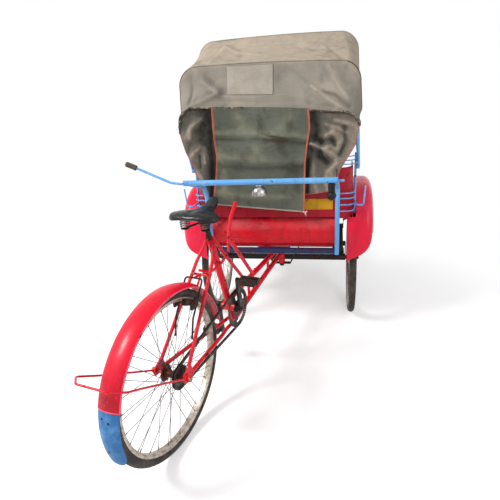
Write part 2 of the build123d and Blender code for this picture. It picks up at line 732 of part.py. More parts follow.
# Hoop round the back of the mudguard, on an eye at each end of the axle.
with BuildPart() as mudguard_hoop:
    tube((rear(78.6, -15, 363.7), rear(84, -255, 503), rear(92, -330, 547), rear(60, -380, 576),
          rear(-60, -390, 582), rear(-132, -330, 547), rear(-110, -255, 503), rear(-78.6, -15, 363.7)), 8, 22)
    for side in (-1, 1):
        with Locations(Plane(origin=rear(side * 76.8, 0, axle_z), z_dir=(1, 0, 0))):
            Cylinder(19, 4.6)
    with Locations(Plane(origin=rear(0, 0, axle_z), z_dir=(1, 0, 0))):
        Cylinder(axle_dia / 2 + seat_gap, 300, mode=Mode.SUBTRACT)
save_turned(mudguard_hoop, "mudguard_hoop")

# Saddle: lofted from four sections, each a flat base under a crown, on two coil springs.
saddle_sections = ((240, 62, 926, 955), (288, 118, 922, 966), (362, 74, 930, 962), (462, 24, 948, 976))
with BuildPart() as saddle:
    for s, half, base, top in saddle_sections:
        with BuildSketch(Plane.XZ.offset(wheelbase - s)):
            with BuildLine():
                ThreePointArc((-half, base), (0, top), (half, base))
                Line((half, base), (-half, base))
            make_face()
    loft()
save_turned(saddle, "saddle")

coil_radius = 19.0
coil_wire = 5.0
coil_low = 886.0
coil_high = 921.2
with BuildPart() as saddle_springs:
    tube((rear(0, 398, 803), rear(0, 366, 906)), 25)
    for side in (-1, 1):
        with BuildLine(Plane(origin=rear(side * 50, 290, coil_low))) as coil:
            Helix(pitch=9, height=coil_high - coil_low - coil_wire, radius=coil_radius)
        with BuildSketch(Plane(origin=coil.line @ 0, z_dir=coil.line % 0)) as wire:
            RegularPolygon(coil_wire / 2, 8)
        sweep(wire.sketch, path=coil.line, is_frenet=True)
        with Locations(rear(side * 50, 290, coil_low - 1)):
            Cylinder(coil_radius + 3, 4)
        with Locations(rear(side * 50, 290, coil_high - 2)):
            Cylinder(coil_radius + 3, 4)
        tube((rear(0, 368, 893), rear(side * 50, 300, coil_low - 1)), 9)
    tube((rear(0, 366, 902), rear(0, 440, 939)), 9)
    with Locations(Plane(origin=rear(0, 369, 893), z_dir=(1, 0, 0))):
        Cylinder(15, 44)
save_turned(saddle_springs, "saddle_springs")

# Brake: a lever beside the seat tube pulls a rod back to the yoke over the rear wheel.
lever_t = 23.8
with BuildPart() as brake_lever:
    tube((rear(12, 581, 843), rear(12, 647, 908)), 20)
    tube((rear(12, 545, 757), rear(12, 548, 767), rear(12, 584, 846)), 16, 20)
    tube((rear(12, 546, 760), rear(12, 540, 748), rear(lever_t, 515, 702), rear(lever_t, 446, 672),
          rear(lever_t, 334, 669), rear(lever_t, 250, 715)), 12, [12, 20, 40, 30])
save_turned(brake_lever, "brake_lever")

block_angle = 65.0
block_radius = 300.0
block_s = block_radius * cos(radians(block_angle))
block_z = axle_z + block_radius * sin(radians(block_angle))
with BuildPart() as brake_yoke:
    tube((rear(-42, 112, 461), rear(-42, 136, 545), rear(-42, 194, 622), rear(-42, 237, 682),
          rear(42, 237, 682), rear(42, 194, 622), rear(42, 136, 545), rear(42, 112, 461)), 8, 12)
    for side in (-1, 1):
        block = Plane(origin=rear(side * 34, block_s, block_z), x_dir=(1, 0, 0),
                      z_dir=(0, cos(radians(block_angle)), sin(radians(block_angle))))
        with Locations(block):
            Box(18, 64, 26)
        with Locations(rear(side * 42, block_s + 30, block_z - 22)):
            Box(10, 50, 36)
save_turned(brake_yoke, "brake_yoke")

# Crankset: axle, right arm with the toothed chainring and its three windows, left arm, two pedals.
ring_radius = pitch / (2 * sin(pi / ring_teeth))
sprocket_radius = pitch / (2 * sin(pi / sprocket_teeth))
tooth_depth = 4.0


def toothed(radius, teeth):
    """The outline points of a chain wheel: a flat tip and a flat root for every pitch."""
    points = []
    for tooth in range(teeth):
        for offset_part, grow in ((-0.32, -tooth_depth), (-0.14, tooth_depth * 0.45),
                                  (0.14, tooth_depth * 0.45), (0.32, -tooth_depth)):
            turn = 2 * pi * (tooth + offset_part) / teeth
            points.append(((radius + grow) * cos(turn), (radius + grow) * sin(turn)))
    return points


arm_lean = radians(crank_angle)
pedal_pin = 10.0
pedal_length = 98.0


def pedal_centre(side):
    """The middle of a pedal: the right one is up, the left one down."""
    swing = side * crank_length
    return rear(side * 122, crank_s + swing * sin(arm_lean), crank_z + swing * cos(arm_lean))


with BuildPart() as crankset:
    with Locations(Plane(origin=rear(3, crank_s, crank_z), z_dir=(1, 0, 0))):
        Cylinder(crank_axle / 2, 142)
    with BuildSketch(Plane(origin=rear(chain_t - 1.5, crank_s, crank_z), x_dir=(0, 1, 0), z_dir=(1, 0, 0))):
        Polygon(*toothed(ring_radius, ring_teeth), align=None)
        for window in range(3):
            with BuildLine():
                low, high = 40.0, ring_radius - 17
                a, b = radians(window * 120 + 14), radians(window * 120 + 106)
                middle = (a + b) / 2
                Line((low * cos(a), low * sin(a)), (high * cos(a), high * sin(a)))
                ThreePointArc((high * cos(a), high * sin(a)), (high * cos(middle), high * sin(middle)),
                              (high * cos(b), high * sin(b)))
                Line((high * cos(b), high * sin(b)), (low * cos(b), low * sin(b)))
                ThreePointArc((low * cos(b), low * sin(b)), (low * cos(middle), low * sin(middle)),
                              (low * cos(a), low * sin(a)))
            make_face(mode=Mode.SUBTRACT)
    extrude(amount=3)
    with Locations(Plane(origin=rear(51, crank_s, crank_z), z_dir=(1, 0, 0))):
        Cylinder(24, 15)
    for side in (-1, 1):
        up = (0, side * sin(arm_lean), side * cos(arm_lean))
        with BuildSketch(Plane(origin=rear(side * 64, crank_s, crank_z), x_dir=up, z_dir=(1, 0, 0))):
            Circle(17)
            with Locations((crank_length, 0)):
                Circle(12)
            make_hull()
        extrude(amount=6, both=True)
        pin = pedal_centre(side)
        with Locations(Plane(origin=rear(side * 118, pin[1] + wheelbase, pin[2]), z_dir=(1, 0, 0))):
            Cylinder(pedal_pin / 2, 110)
        with Locations(Plane(origin=rear(side * 175, pin[1] + wheelbase, pin[2]), z_dir=(1, 0, 0))):
            Cylinder(8, 6)
save_turned(crankset, "crankset")

for side, name in ((-1, "left"), (1, "right")):
    x, y, z = pedal_centre(side)
    with BuildPart() as pedal:
        with Locations(Plane(origin=(x, y, z), z_dir=(1, 0, 0))):
            Cylinder(11, pedal_length)
        for shift in (-26, 26):
            with Locations((x, y + shift, z)):
                Box(pedal_length - 6, 16, 22)
        for end in (-1, 1):
            with Locations((x + end * (pedal_length / 2 - 5), y, z)):
                Box(5, 52, 20)
        with Locations(Plane(origin=(x, y, z), z_dir=(1, 0, 0))):
            Cylinder(pedal_pin / 2 + crank_clearance, 2 * pedal_length, mode=Mode.SUBTRACT)
    save_turned(pedal, "pedal_" + name)

# Sprocket on the rear hub.
with BuildPart() as rear_wheel:
    add(wheel_at(rear_centre, rear_flange_offset, rear_flange_radius, rear_hub_half, hub_bore).part)
    with BuildSketch(side_plane(chain_t - 1.5)):
        with Locations((-wheelbase, axle_z)):
            Polygon(*toothed(sprocket_radius, sprocket_teeth), align=None)
    extrude(amount=3)
    with Locations(Plane(origin=rear(chain_t - 3, 0, axle_z), z_dir=(1, 0, 0))):
        Cylinder(22, 14)
        Cylinder(hub_bore / 2, 30, mode=Mode.SUBTRACT)
save_turned(rear_wheel, "rear_wheel")

# Chain: two side plates all round, and rollers on both straight runs between the chain wheels.
link_half = 5.0
link_sheet = 1.2
rise = crank_z - axle_z
reach = sqrt(crank_s ** 2 + rise ** 2)
slope = atan2(rise, crank_s)
spread = asin((ring_radius - sprocket_radius) / reach)
run_length = sqrt(reach ** 2 - (ring_radius - sprocket_radius) ** 2)
tangents = (slope + pi / 2 + spread, slope - pi / 2 - spread)


def on_ring(radius, turn):
    return (crank_s - wheelbase + radius * cos(turn), crank_z + radius * sin(turn))


def on_sprocket(radius, turn):
    return (-wheelbase + radius * cos(turn), axle_z + radius * sin(turn))


with BuildPart() as chain:
    with BuildSketch(side_plane(chain_t - chain_width / 2), side_plane(chain_t + chain_width / 2 - link_sheet)):
        for grow, mode in ((link_half, Mode.ADD), (-link_half, Mode.SUBTRACT)):
            large = ring_radius + grow
            small = sprocket_radius + grow
            with BuildLine():
                Line(on_sprocket(small, tangents[0]), on_ring(large, tangents[0]))
                ThreePointArc(on_ring(large, tangents[0]), on_ring(large, slope), on_ring(large, tangents[1]))
                Line(on_ring(large, tangents[1]), on_sprocket(small, tangents[1]))
                ThreePointArc(on_sprocket(small, tangents[1]), on_sprocket(small, slope + pi),
                              on_sprocket(small, tangents[0]))
            make_face(mode=mode)
    extrude(amount=link_sheet)
    rollers = []
    for turn in tangents:
        start = Vector(*on_sprocket(sprocket_radius, turn))
        along = (Vector(*on_ring(ring_radius, turn)) - start) / run_length
        for count in range(int((run_length - 70) / pitch) + 1):
            spot = start + along * (30 + count * pitch)
            rollers.append((spot.X, spot.Y))
    with BuildSketch(side_plane(chain_t - chain_width / 2 + 0.2)):
        with Locations(*rollers):
            RegularPolygon(4, 6)
    extrude(amount=chain_width - 0.4)
save_turned(chain, "chain")
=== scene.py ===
import math
import random

import bpy
import bmesh
from mathutils import Matrix, Vector, noise
from mathutils.bvhtree import BVHTree


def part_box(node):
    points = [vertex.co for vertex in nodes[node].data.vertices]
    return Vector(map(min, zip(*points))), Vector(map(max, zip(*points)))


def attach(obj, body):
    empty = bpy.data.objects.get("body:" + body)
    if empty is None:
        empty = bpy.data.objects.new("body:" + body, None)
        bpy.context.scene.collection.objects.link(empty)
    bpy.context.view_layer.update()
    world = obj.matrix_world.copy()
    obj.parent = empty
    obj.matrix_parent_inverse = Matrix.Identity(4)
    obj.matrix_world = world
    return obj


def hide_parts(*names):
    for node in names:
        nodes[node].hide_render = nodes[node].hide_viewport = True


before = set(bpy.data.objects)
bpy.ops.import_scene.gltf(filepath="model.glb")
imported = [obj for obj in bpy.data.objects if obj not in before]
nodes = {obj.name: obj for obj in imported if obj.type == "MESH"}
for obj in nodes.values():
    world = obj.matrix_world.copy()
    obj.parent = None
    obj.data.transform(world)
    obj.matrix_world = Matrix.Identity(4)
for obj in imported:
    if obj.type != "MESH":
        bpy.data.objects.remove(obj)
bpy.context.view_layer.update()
# points are given from the ground under the front axle, and the frame from the middle of the plan
shift = Vector((0.0708, 0.4433, 0.0))
parkTurn = math.radians(-14.4)
kingpin = Vector((0.0, -0.075, 0.0))
wheelbase = 1.259


def cabin(x, y, z):
    # a point in millimetres from the ground under the front axle
    return Vector((x, y, z)) / 1000 + shift


def rear(t, s, z):
    # a point of the rear frame in millimetres: across, forward from the rear axle, up
    straight = Vector((t / 1000, s / 1000 - wheelbase, z / 1000))
    return Matrix.Rotation(parkTurn, 3, "Z") @ straight + kingpin + shift


def metres(rows):
    # (along, radius) rows of a section from millimetres
    return [(along / 1000, radius / 1000) for along, radius in rows]


def inScene(name, data):
    # an object of its own in the scene
    obj = bpy.data.objects.new(name, data)
    bpy.context.collection.objects.link(obj)
    return obj


def linear(red, green, blue, alpha=1.0):
    # a screen colour from 0 to 255 as the light value that a shader takes
    parts = [c / 255 for c in (red, green, blue)]
    return tuple(c / 12.92 if c <= 0.04045 else ((c + 0.055) / 1.055) ** 2.4 for c in parts) + (alpha,)


def addNode(tree, kind, settings=None, values=None, out=0):
    # one node of a tree: values are by socket name or number, and a Wire is linked to its socket
    made = tree.nodes.new(kind)
    for key, value in (settings or {}).items():
        setattr(made, key, value)
    for key, value in (values or {}).items():
        if isinstance(value, Wire):
            tree.links.new(value.socket, made.inputs[key])
        else:
            made.inputs[key].default_value = value
    return Wire(tree, made.outputs[out])


class Wire:
    # a socket that takes part in sums: every operator adds one Math node
    def __init__(self, tree, socket):
        self.tree, self.socket = tree, socket

    def sum(self, operation, *values):
        return addNode(self.tree, "ShaderNodeMath", {"operation": operation}, dict(enumerate(values)))

    def __add__(self, other):
        return self.sum("ADD", self, other)

    def __sub__(self, other):
        return self.sum("SUBTRACT", self, other)

    def __mul__(self, other):
        return self.sum("MULTIPLY", self, other)

    def __radd__(self, other):
        return self.sum("ADD", other, self)

    def __rsub__(self, other):
        return self.sum("SUBTRACT", other, self)

    def __rmul__(self, other):
        return self.sum("MULTIPLY", other, self)

    def most(self, other):
        return self.sum("MAXIMUM", self, other)

    def step(self, low, high):
        # 0 below low, 1 above high, smooth between
        return addNode(self.tree, "ShaderNodeMapRange", {"interpolation_type": "SMOOTHSTEP"},
                       {"Value": self, "From Min": low, "From Max": high})


class Finish:
    # one material: a Principled shader and what feeds it
    def __init__(self, name, **values):
        self.material = bpy.data.materials.new(name)
        self.material.use_nodes = True
        self.tree = self.material.node_tree
        self.tree.nodes.clear()
        self.end = self.tree.nodes.new("ShaderNodeOutputMaterial")
        self.shader = self.tree.nodes.new("ShaderNodeBsdfPrincipled")
        self.tree.links.new(self.shader.outputs[0], self.end.inputs["Surface"])
        self.place = self.node("ShaderNodeTexCoord", out="Object")
        for socket, value in values.items():
            self.shader.inputs[socket.replace("_", " ")].default_value = value

    def node(self, kind, settings=None, out=0, **values):
        named = {key.replace("_", " "): value for key, value in values.items()}
        return addNode(self.tree, kind, settings, named, out)

    def feed(self, socket, wire):
        self.tree.links.new(wire.socket, self.shader.inputs[socket])

    def spots(self, scale, detail=3.0, rough=0.55, vector=None, warp=0.0):
        return self.node("ShaderNodeTexNoise", Vector=vector or self.place, Scale=scale, Detail=detail,
                         Roughness=rough, Distortion=warp)

    def stretched(self, x, y, z, turn=(0, 0, 0)):
        return self.node("ShaderNodeMapping", Vector=self.place, Scale=(x, y, z), Rotation=turn)

    def mix(self, first, second, factor):
        return addNode(self.tree, "ShaderNodeMix", {"data_type": "RGBA"}, {0: factor, 6: first, 7: second}, 2)

    def part(self, axis):
        # one of the three numbers of the place
        return addNode(self.tree, "ShaderNodeSeparateXYZ", None, {0: self.place}, axis)

    def bump(self, height, strength, distance):
        self.feed("Normal", self.node("ShaderNodeBump", Height=height, Strength=strength, Distance=distance))


def looksFrom(columns, table, extras):
    # one look for each row of a table: its values by name, with screen colours made linear
    looks = {}
    for name, row in table.items():
        look = dict(zip(columns, row), **extras.get(name, {}))
        looks[name] = {key: linear(*v) if isinstance(v, tuple) else v for key, v in look.items()}
    return looks


def wornPaint(name, look):
    # gloss enamel that has faded, with dirt that runs down, scratches, and chips down to rust; on some paints
    # a painted highlight along the top
    paint = Finish(name, IOR=1.5, Coat_IOR=1.5, Coat_Roughness=0.2, Specular_IOR_Level=0.22)
    broad = paint.spots(look["patchScale"], 4.0, 0.6)
    faded = paint.mix(look["colour"], look["faded"], broad.step(0.42, 0.78) * look["fade"])
    runs = paint.spots(30.0, 5.0, 0.7, paint.stretched(1.0, 1.0, 0.16))
    dirty = paint.mix(faded, look["dirt"], runs.step(0.5, 0.76) * look["soiled"])
    specks = paint.spots(240.0, 3.0, 0.7)
    dusty = paint.mix(dirty, look["dust"], specks.step(0.6, 0.8) * (look["soiled"] * 0.35))
    chipGround = paint.spots(48.0, 6.0, 0.72, warp=0.6)
    chips = (chipGround * 0.78 + paint.spots(9.0, 2.0) * 0.34).step(look["chipLow"], look["chipLow"] + 0.03)
    if "lowDarkRed" in look:
        # darker red towards the bottom, with pale scuffs there
        low = 1 - paint.part(2).step(0.46, 0.66)
        dusty = paint.mix(dusty, look["lowDarkRed"], low * (0.45 + 0.5 * runs.step(0.35, 0.65)))
        scuffs = paint.spots(110.0, 5.0, 0.8, paint.stretched(1.0, 1.0, 0.35)).step(0.6, 0.68)
        dusty = paint.mix(dusty, look["dust"], scuffs * low * 0.8)
    if "scored" in look:
        score = paint.spots(30.0, 5.0, 0.7, paint.stretched(0.12, 1.0, 1.6), 0.3).step(0.58, 0.62)
        dusty = paint.mix(dusty, look["scored"], score * paint.spots(5.0, 3.0).step(0.45, 0.6))
        # painted highlight: a paler pink in patches on the box above 0.67 m, where its top faces up
        topHighlight = paint.part(2).step(0.67, 0.70) * paint.spots(7.0, 4.0, 0.7).step(0.3, 0.6)
        dusty = paint.mix(dusty, look["topHighlight"], topHighlight * 0.6)
    rust = paint.mix(rustDark, rustPale, paint.spots(160.0, 4.0, 0.7).step(0.4, 0.65))
    paint.feed("Base Color", paint.mix(dusty, rust, chips))
    gloss = look["gloss"] + 0.22 * runs.step(0.4, 0.75) + 0.1 * specks
    paint.feed("Roughness", gloss + chips * 0.45)
    paint.feed("Coat Weight", (1 - chips) * (look["coat"] * 0.3))
    paint.bump(0.35 * broad - chips * 0.9 + 0.12 * paint.spots(90.0, 3.0), 0.35, 0.0012)
    return paint.material


rustDark = linear(58, 22, 18)
rustPale = linear(104, 46, 32)
paintLooks = looksFrom(("colour", "faded", "dirt", "dust", "fade", "patchScale", "soiled", "chipLow",
                        "gloss", "coat"), {
    "bodyRed": ((214, 14, 34), (178, 26, 36), (110, 14, 22), (206, 96, 92), 0.8, 5.0, 0.5, 0.655, 0.26, 0.5),
    "frameRed": ((230, 10, 40), (232, 60, 66), (112, 22, 22), (214, 120, 110),
        0.6, 9.0, 0.45, 0.635, 0.24, 0.5),
    "fenderRed": ((236, 8, 56), (250, 70, 108), (176, 10, 34), (244, 120, 140),
        0.7, 3.0, 0.4, 0.71, 0.2, 0.7),
    # a lighter pink than the mudguard: painted highlight for its rolled beads
    "beadHighlightPink": ((244, 96, 120), (238, 132, 136), (120, 40, 44), (232, 168, 164),
        0.8, 12.0, 0.5, 0.64, 0.3, 0.4),
    "guardRed": ((234, 6, 44), (246, 52, 84), (176, 10, 34), (244, 120, 140), 0.7, 3.0, 0.45, 0.7, 0.3, 0.6),
    # a darker copy of the body red: painted shade for the back and side panels
    "shadedPanelRed": ((178, 8, 36), (140, 10, 30), (60, 12, 16), (150, 70, 66), 0.8, 4.0, 0.6, 0.66, 0.32, 0.3),
    "barBlue": ((104, 172, 232), (146, 198, 240), (60, 104, 160), (168, 190, 206),
        0.7, 8.0, 0.5, 0.67, 0.3, 0.4),
    "flapBlue": ((46, 112, 172), (92, 152, 204), (58, 84, 112), (150, 166, 180),
        0.9, 20.0, 0.6, 0.72, 0.42, 0.15),
    "railNavy": ((34, 50, 92), (52, 72, 116), (30, 30, 36), (110, 106, 104), 0.7, 8.0, 0.6, 0.6, 0.36, 0.2),
    "steelBlack": ((34, 33, 34), (58, 52, 50), (78, 62, 50), (116, 102, 90), 0.8, 9.0, 0.6, 0.58, 0.45, 0.05),
    "plateYellow": ((214, 160, 22), (190, 134, 32), (112, 78, 26), (176, 140, 80),
        0.7, 18.0, 0.7, 0.9, 0.4, 0.1),
}, {
    "bodyRed": dict(scored=(74, 12, 20), topHighlight=(206, 84, 88)),
    "guardRed": dict(lowDarkRed=(150, 14, 32))})
paints = {name: wornPaint(name, look) for name, look in paintLooks.items()}
print("paints done")


def bareSteel(name, bright, dull, rustAmount, rough, oil=0.0):
    # metal without paint: plating gone cloudy, rust in patches, and grease in the hollows
    steel = Finish(name, Metallic=1.0)
    cloudy = steel.spots(60.0, 5.0, 0.65)
    patches = steel.spots(22.0, 6.0, 0.7, warp=0.5).step(0.64 - rustAmount * 0.3, 0.74 - rustAmount * 0.2)
    rust = steel.mix(rustDark, rustPale, steel.spots(220.0, 3.0, 0.7))
    base = steel.mix(bright, dull, cloudy.step(0.35, 0.7))
    black = steel.spots(34.0, 4.0, 0.6).step(0.72 - oil * 0.5, 0.82 - oil * 0.3)
    rusted = steel.mix(base, rust, patches)
    steel.feed("Base Color", steel.mix(rusted, linear(22, 19, 17), black * min(1.0, oil * 1.3)))
    steel.feed("Metallic", 1 - (patches * 0.9).most(black * oil))
    steel.feed("Roughness", rough + 0.25 * cloudy + patches * 0.3)
    steel.bump(cloudy * 0.4 + patches * 0.6, 0.3, 0.0008)
    return steel.material


metalLooks = {  # bright, dull, how much rust, roughness, how much oil
    "wheelSteel": ((186, 180, 170), (132, 124, 114), 0.35, 0.28, 0.1),
    "rimSteel": ((192, 182, 170), (144, 132, 118), 0.12, 0.3, 0.15),
    "chainSteel": ((112, 104, 96), (62, 56, 52), 0.5, 0.36, 0.8),
    "bellChrome": ((206, 202, 202), (96, 80, 80), 0.2, 0.08),
    "springSteel": ((140, 128, 112), (88, 76, 64), 0.6, 0.35, 0.4),
    "spokeSteel": ((104, 100, 96), (58, 54, 52), 0.3, 0.35, 0.5),
    "hubBrown": ((120, 60, 44), (82, 44, 36), 0.5, 0.4, 0.3),
    "boltBronze": ((176, 132, 84), (118, 84, 58), 0.3, 0.35, 0.2),
}
metals = {name: bareSteel(name, linear(*look[0]), linear(*look[1]), *look[2:])
          for name, look in metalLooks.items()}


def rubberFinish(name, colour, dustColour, dusty, rough):
    rubber = Finish(name, IOR=1.45, Specular_IOR_Level=0.3)
    dust = rubber.spots(16.0, 5.0, 0.62).step(0.36, 0.7)
    grain = rubber.spots(420.0, 3.0, 0.6)
    tinted = rubber.mix(colour, dustColour, dust * dusty)
    rubber.feed("Base Color", rubber.mix(tinted, dustColour, grain.step(0.62, 0.8) * (dusty * 0.5)))
    rubber.feed("Roughness", rough + 0.2 * dust)
    rubber.bump(grain * 0.5 + rubber.spots(90.0, 3.0) * 0.5, 0.3, 0.0006)
    return rubber.material


rubberLooks = {  # colour, dust, how dusty, roughness
    "tyreRubber": ((44, 42, 41), (128, 118, 106), 0.4, 0.66),
    "blackRubber": ((20, 20, 20), (74, 70, 66), 0.25, 0.42),
    "gripBrown": ((62, 42, 34), (140, 122, 106), 0.4, 0.5),
    "pedalRubber": ((44, 38, 34), (104, 88, 72), 0.5, 0.6),
}
rubbers = {name: rubberFinish(name, linear(*look[0]), linear(*look[1]), *look[2:])
           for name, look in rubberLooks.items()}


def clothFinish(name, look):
    # coated canvas: a plain weave, broad stains, a painted highlight on fold crests with painted shade in
    # fold hollows, and damp marks near the hems
    cloth = Finish(name, IOR=1.45, Specular_IOR_Level=0.12)
    broad = cloth.spots(look["stainScale"], 6.0, 0.62, warp=0.7)
    middle = cloth.spots(14.0, 5.0, 0.65, cloth.stretched(1.0, 1.0, 0.5))
    base = cloth.mix(look["colour"], look["bleached"], broad.step(0.4, 0.68) * look["bleach"])
    base = cloth.mix(base, look["stain"], middle.step(0.5, 0.75) * look["stains"])
    # painted light on the folds: crestLight is a painted highlight on the crests, hollow is painted shade in
    # the hollows
    folds = cloth.node("ShaderNodeAttribute", {"attribute_name": "foldShading"}, out="Fac")
    uneven = cloth.spots(26.0, 4.0, 0.7).step(0.3, 0.7)
    base = cloth.mix(base, look["crestLight"], folds.step(0.05, 0.9) * (0.3 + 0.4 * uneven))
    base = cloth.mix(base, look["hollow"], (folds * -1).step(0.0, 0.9) * (0.65 + 0.3 * uneven))
    if "frontFrom" in look:
        front = cloth.part(1).step(look["frontFrom"] - 0.012, look["frontFrom"] + 0.012)
        base = cloth.mix(base, look["frontTan"], front * (0.35 + 0.4 * uneven))
        # painted shade on the rear panel: broad darker grey patches, and the left side darker
        shadePatches = cloth.spots(2.2, 3.0, 0.5).step(0.38, 0.6)
        dull = (1 - cloth.part(0).step(-0.25, -0.02)) * 0.55
        base = cloth.mix(base, look["rearShadeGrey"], (1 - front) * (shadePatches * 0.6).most(dull))
    warps, wefts = (cloth.node("ShaderNodeTexWave", {"wave_type": "BANDS", "bands_direction": way}, out="Fac",
                               Vector=cloth.place, Scale=260.0, Distortion=1.2, Detail=1.0, Detail_Scale=2.0)
                    for way in "XZ")
    weave = warps.most(wefts)
    base = cloth.mix(base, look["thread"], (1 - weave) * 0.35)
    blots = cloth.spots(60.0, 4.0, 0.7).step(0.68, 0.76)
    damp = cloth.spots(5.0, 4.0, 0.6, cloth.stretched(0.7, 1.0, 1.5), 1.0).step(0.56, 0.68)
    base = cloth.mix(base, look["damp"], damp * look["dampness"])
    cloth.feed("Base Color", cloth.mix(base, look["blot"], blots * 0.5))
    cloth.feed("Roughness", 0.78 + 0.15 * middle)
    lines = cloth.spots(9.0, 5.0, 0.6, cloth.stretched(0.6, 1.0, 2.6, (0.0, look["lean"], 0.0)), 0.8)
    cloth.bump(weave * 0.06 + middle * 0.3 + lines, 0.9, 0.006)
    return cloth.material


# crestLight and hollow are the painted highlight and painted shade of the folds
clothLooks = looksFrom(("colour", "bleached", "stain", "thread", "blot", "crestLight", "hollow", "damp",
                        "dampness", "lean", "stainScale", "bleach", "stains"), {
    "hoodCanvas": ((160, 152, 140), (188, 174, 156), (118, 112, 104), (112, 104, 92), (92, 82, 70),
        (214, 200, 180), (106, 100, 90), (140, 130, 116), 0.5, 0.3, 3.4, 0.8, 0.6),
    "curtainOlive": ((94, 97, 86), (124, 127, 114), (62, 58, 48), (64, 64, 52), (134, 128, 112),
        (150, 150, 128), (58, 60, 52), (70, 54, 40), 0.65, 0.08, 3.0, 0.6, 0.7),
    "sideCanvas": ((92, 90, 82), (132, 124, 112), (52, 50, 46), (72, 68, 58), (60, 54, 46), (196, 178, 158),
        (26, 26, 26), (150, 128, 108), 0.45, 1.2, 4.0, 0.7, 0.7),
    "patchCloth": ((170, 160, 146), (188, 180, 168), (146, 138, 126), (124, 120, 110), (120, 112, 100),
        (190, 186, 174), (130, 124, 112), (150, 144, 132), 0.3, 0.1, 9.0, 0.6, 0.4),
    "pipingOrange": ((196, 104, 84), (214, 132, 112), (150, 72, 58), (140, 70, 58), (110, 60, 50),
        (220, 140, 120), (120, 60, 50), (150, 84, 66), 0.3, 0.0, 12.0, 0.6, 0.5),
    "threadPale": ((206, 198, 184), (226, 220, 208), (170, 160, 146), (160, 150, 136), (140, 128, 112),
        (236, 230, 220), (150, 140, 126), (200, 190, 176), 0.2, 0.0, 20.0, 0.6, 0.4),
    "bindingDark": ((78, 64, 52), (132, 118, 100), (48, 38, 32), (50, 42, 36), (150, 60, 50),
        (160, 140, 118), (40, 32, 28), (120, 100, 80), 0.5, 0.0, 16.0, 0.8, 0.8),
}, {
    "hoodCanvas": dict(frontFrom=0.118, frontTan=(204, 186, 164), rearShadeGrey=(124, 122, 114))})
cloths = {name: clothFinish(name, look) for name, look in clothLooks.items()}


def vinylFinish(name, colour, worn, rough):
    vinyl = Finish(name, IOR=1.5, Coat_Roughness=0.16, Specular_IOR_Level=0.2)
    grain = vinyl.node("ShaderNodeTexVoronoi", {"feature": "DISTANCE_TO_EDGE"}, Vector=vinyl.place,
                       Scale=420.0)
    rub = vinyl.spots(11.0, 5.0, 0.65).step(0.5, 0.74)
    cracks = vinyl.spots(120.0, 6.0, 0.75, vinyl.stretched(1.0, 0.4, 1.0)).step(0.6, 0.66)
    vinyl.feed("Base Color", vinyl.mix(vinyl.mix(colour, worn, rub * 0.7), linear(30, 22, 20), cracks * 0.5))
    vinyl.feed("Roughness", rough + 0.25 * rub)
    vinyl.feed("Coat Weight", 0.3 - rub * 0.25)
    vinyl.bump(grain * 3.0 + vinyl.spots(30.0, 3.0) * 0.3 - cracks * 0.4, 0.3, 0.0008)
    return vinyl.material


vinylLooks = {  # colour, worn colour, roughness
    "seatVinyl": ((134, 22, 28), (160, 74, 64), 0.4),
    "pipeVinyl": ((214, 196, 170), (170, 140, 116), 0.45),
    "saddleVinyl": ((9, 9, 10), (30, 29, 30), 0.3),
}
vinyls = {name: vinylFinish(name, linear(*look[0]), linear(*look[1]), *look[2:])
          for name, look in vinylLooks.items()}


def woodFinish(name):
    wood = Finish(name, IOR=1.45)
    rings = wood.node("ShaderNodeTexWave", {"wave_type": "BANDS", "bands_direction": "X"}, out="Fac",
                      Vector=wood.stretched(1.0, 0.08, 1.0), Scale=22.0, Distortion=7.0, Detail=4.0,
                      Detail_Scale=1.6)
    dirt = wood.spots(7.0, 5.0, 0.65).step(0.4, 0.75)
    base = wood.mix(linear(150, 118, 84), linear(104, 76, 52), rings)
    wood.feed("Base Color", wood.mix(base, linear(74, 60, 48), dirt * 0.7))
    wood.feed("Roughness", 0.6 + 0.25 * dirt)
    wood.bump(rings * 0.5 + wood.spots(160.0, 3.0) * 0.4, 0.3, 0.0008)
    return wood.material


boardWood = woodFinish("boardWood")
print("finishes done")

# Finish of every solid, also of those that a piece built below stands for
finishOf = (
    (paints["railNavy"], "chassis"),
    (paints["steelBlack"], "front_axle leaf_spring_left leaf_spring_right kingpin_bracket brake_yoke"),
    (paints["bodyRed"], "seat_box"),
    (boardWood, "seat_board footboard"),
    # the panels take the darker red as painted shade
    (paints["shadedPanelRed"], "side_panel_left side_panel_right back_panel"),
    (paints["fenderRed"], "fender_left fender_right"),
    (paints["barBlue"], "side_rails_left side_rails_right push_bar pull_rod hood_bows"),
    (rubbers["gripBrown"], "rod_grip"),
    (metals["bellChrome"], "bell"),
    (rubbers["blackRubber"], "bulb_horn"),
    (paints["plateYellow"], "number_plate"),
    (metals["rimSteel"], "front_wheel_left front_wheel_right rear_wheel"),
    (paints["frameRed"], "rear_frame mudguard_hoop brake_lever"),
    (paints["guardRed"], "rear_mudguard"),
    (paints["flapBlue"], "mudguard_tip"),
    (metals["springSteel"], "saddle_springs"),
    (metals["chainSteel"], "chain crankset"),
    (rubbers["pedalRubber"], "pedal_left pedal_right"),
    (rubbers["tyreRubber"], "front_tyre_left front_tyre_right rear_tyre"),
    (cloths["hoodCanvas"], "hood_canvas"),
    (cloths["curtainOlive"], "rear_curtain"),
    (cloths["sideCanvas"], "side_cloth_left side_cloth_right"),
    (vinyls["seatVinyl"], "seat_cushion back_cushion"),
    (vinyls["saddleVinyl"], "saddle"),
)
for finish, names in finishOf:
    for name in names.split():
        for slot in nodes[name].material_slots:
            slot.material = finish
print("solids painted")


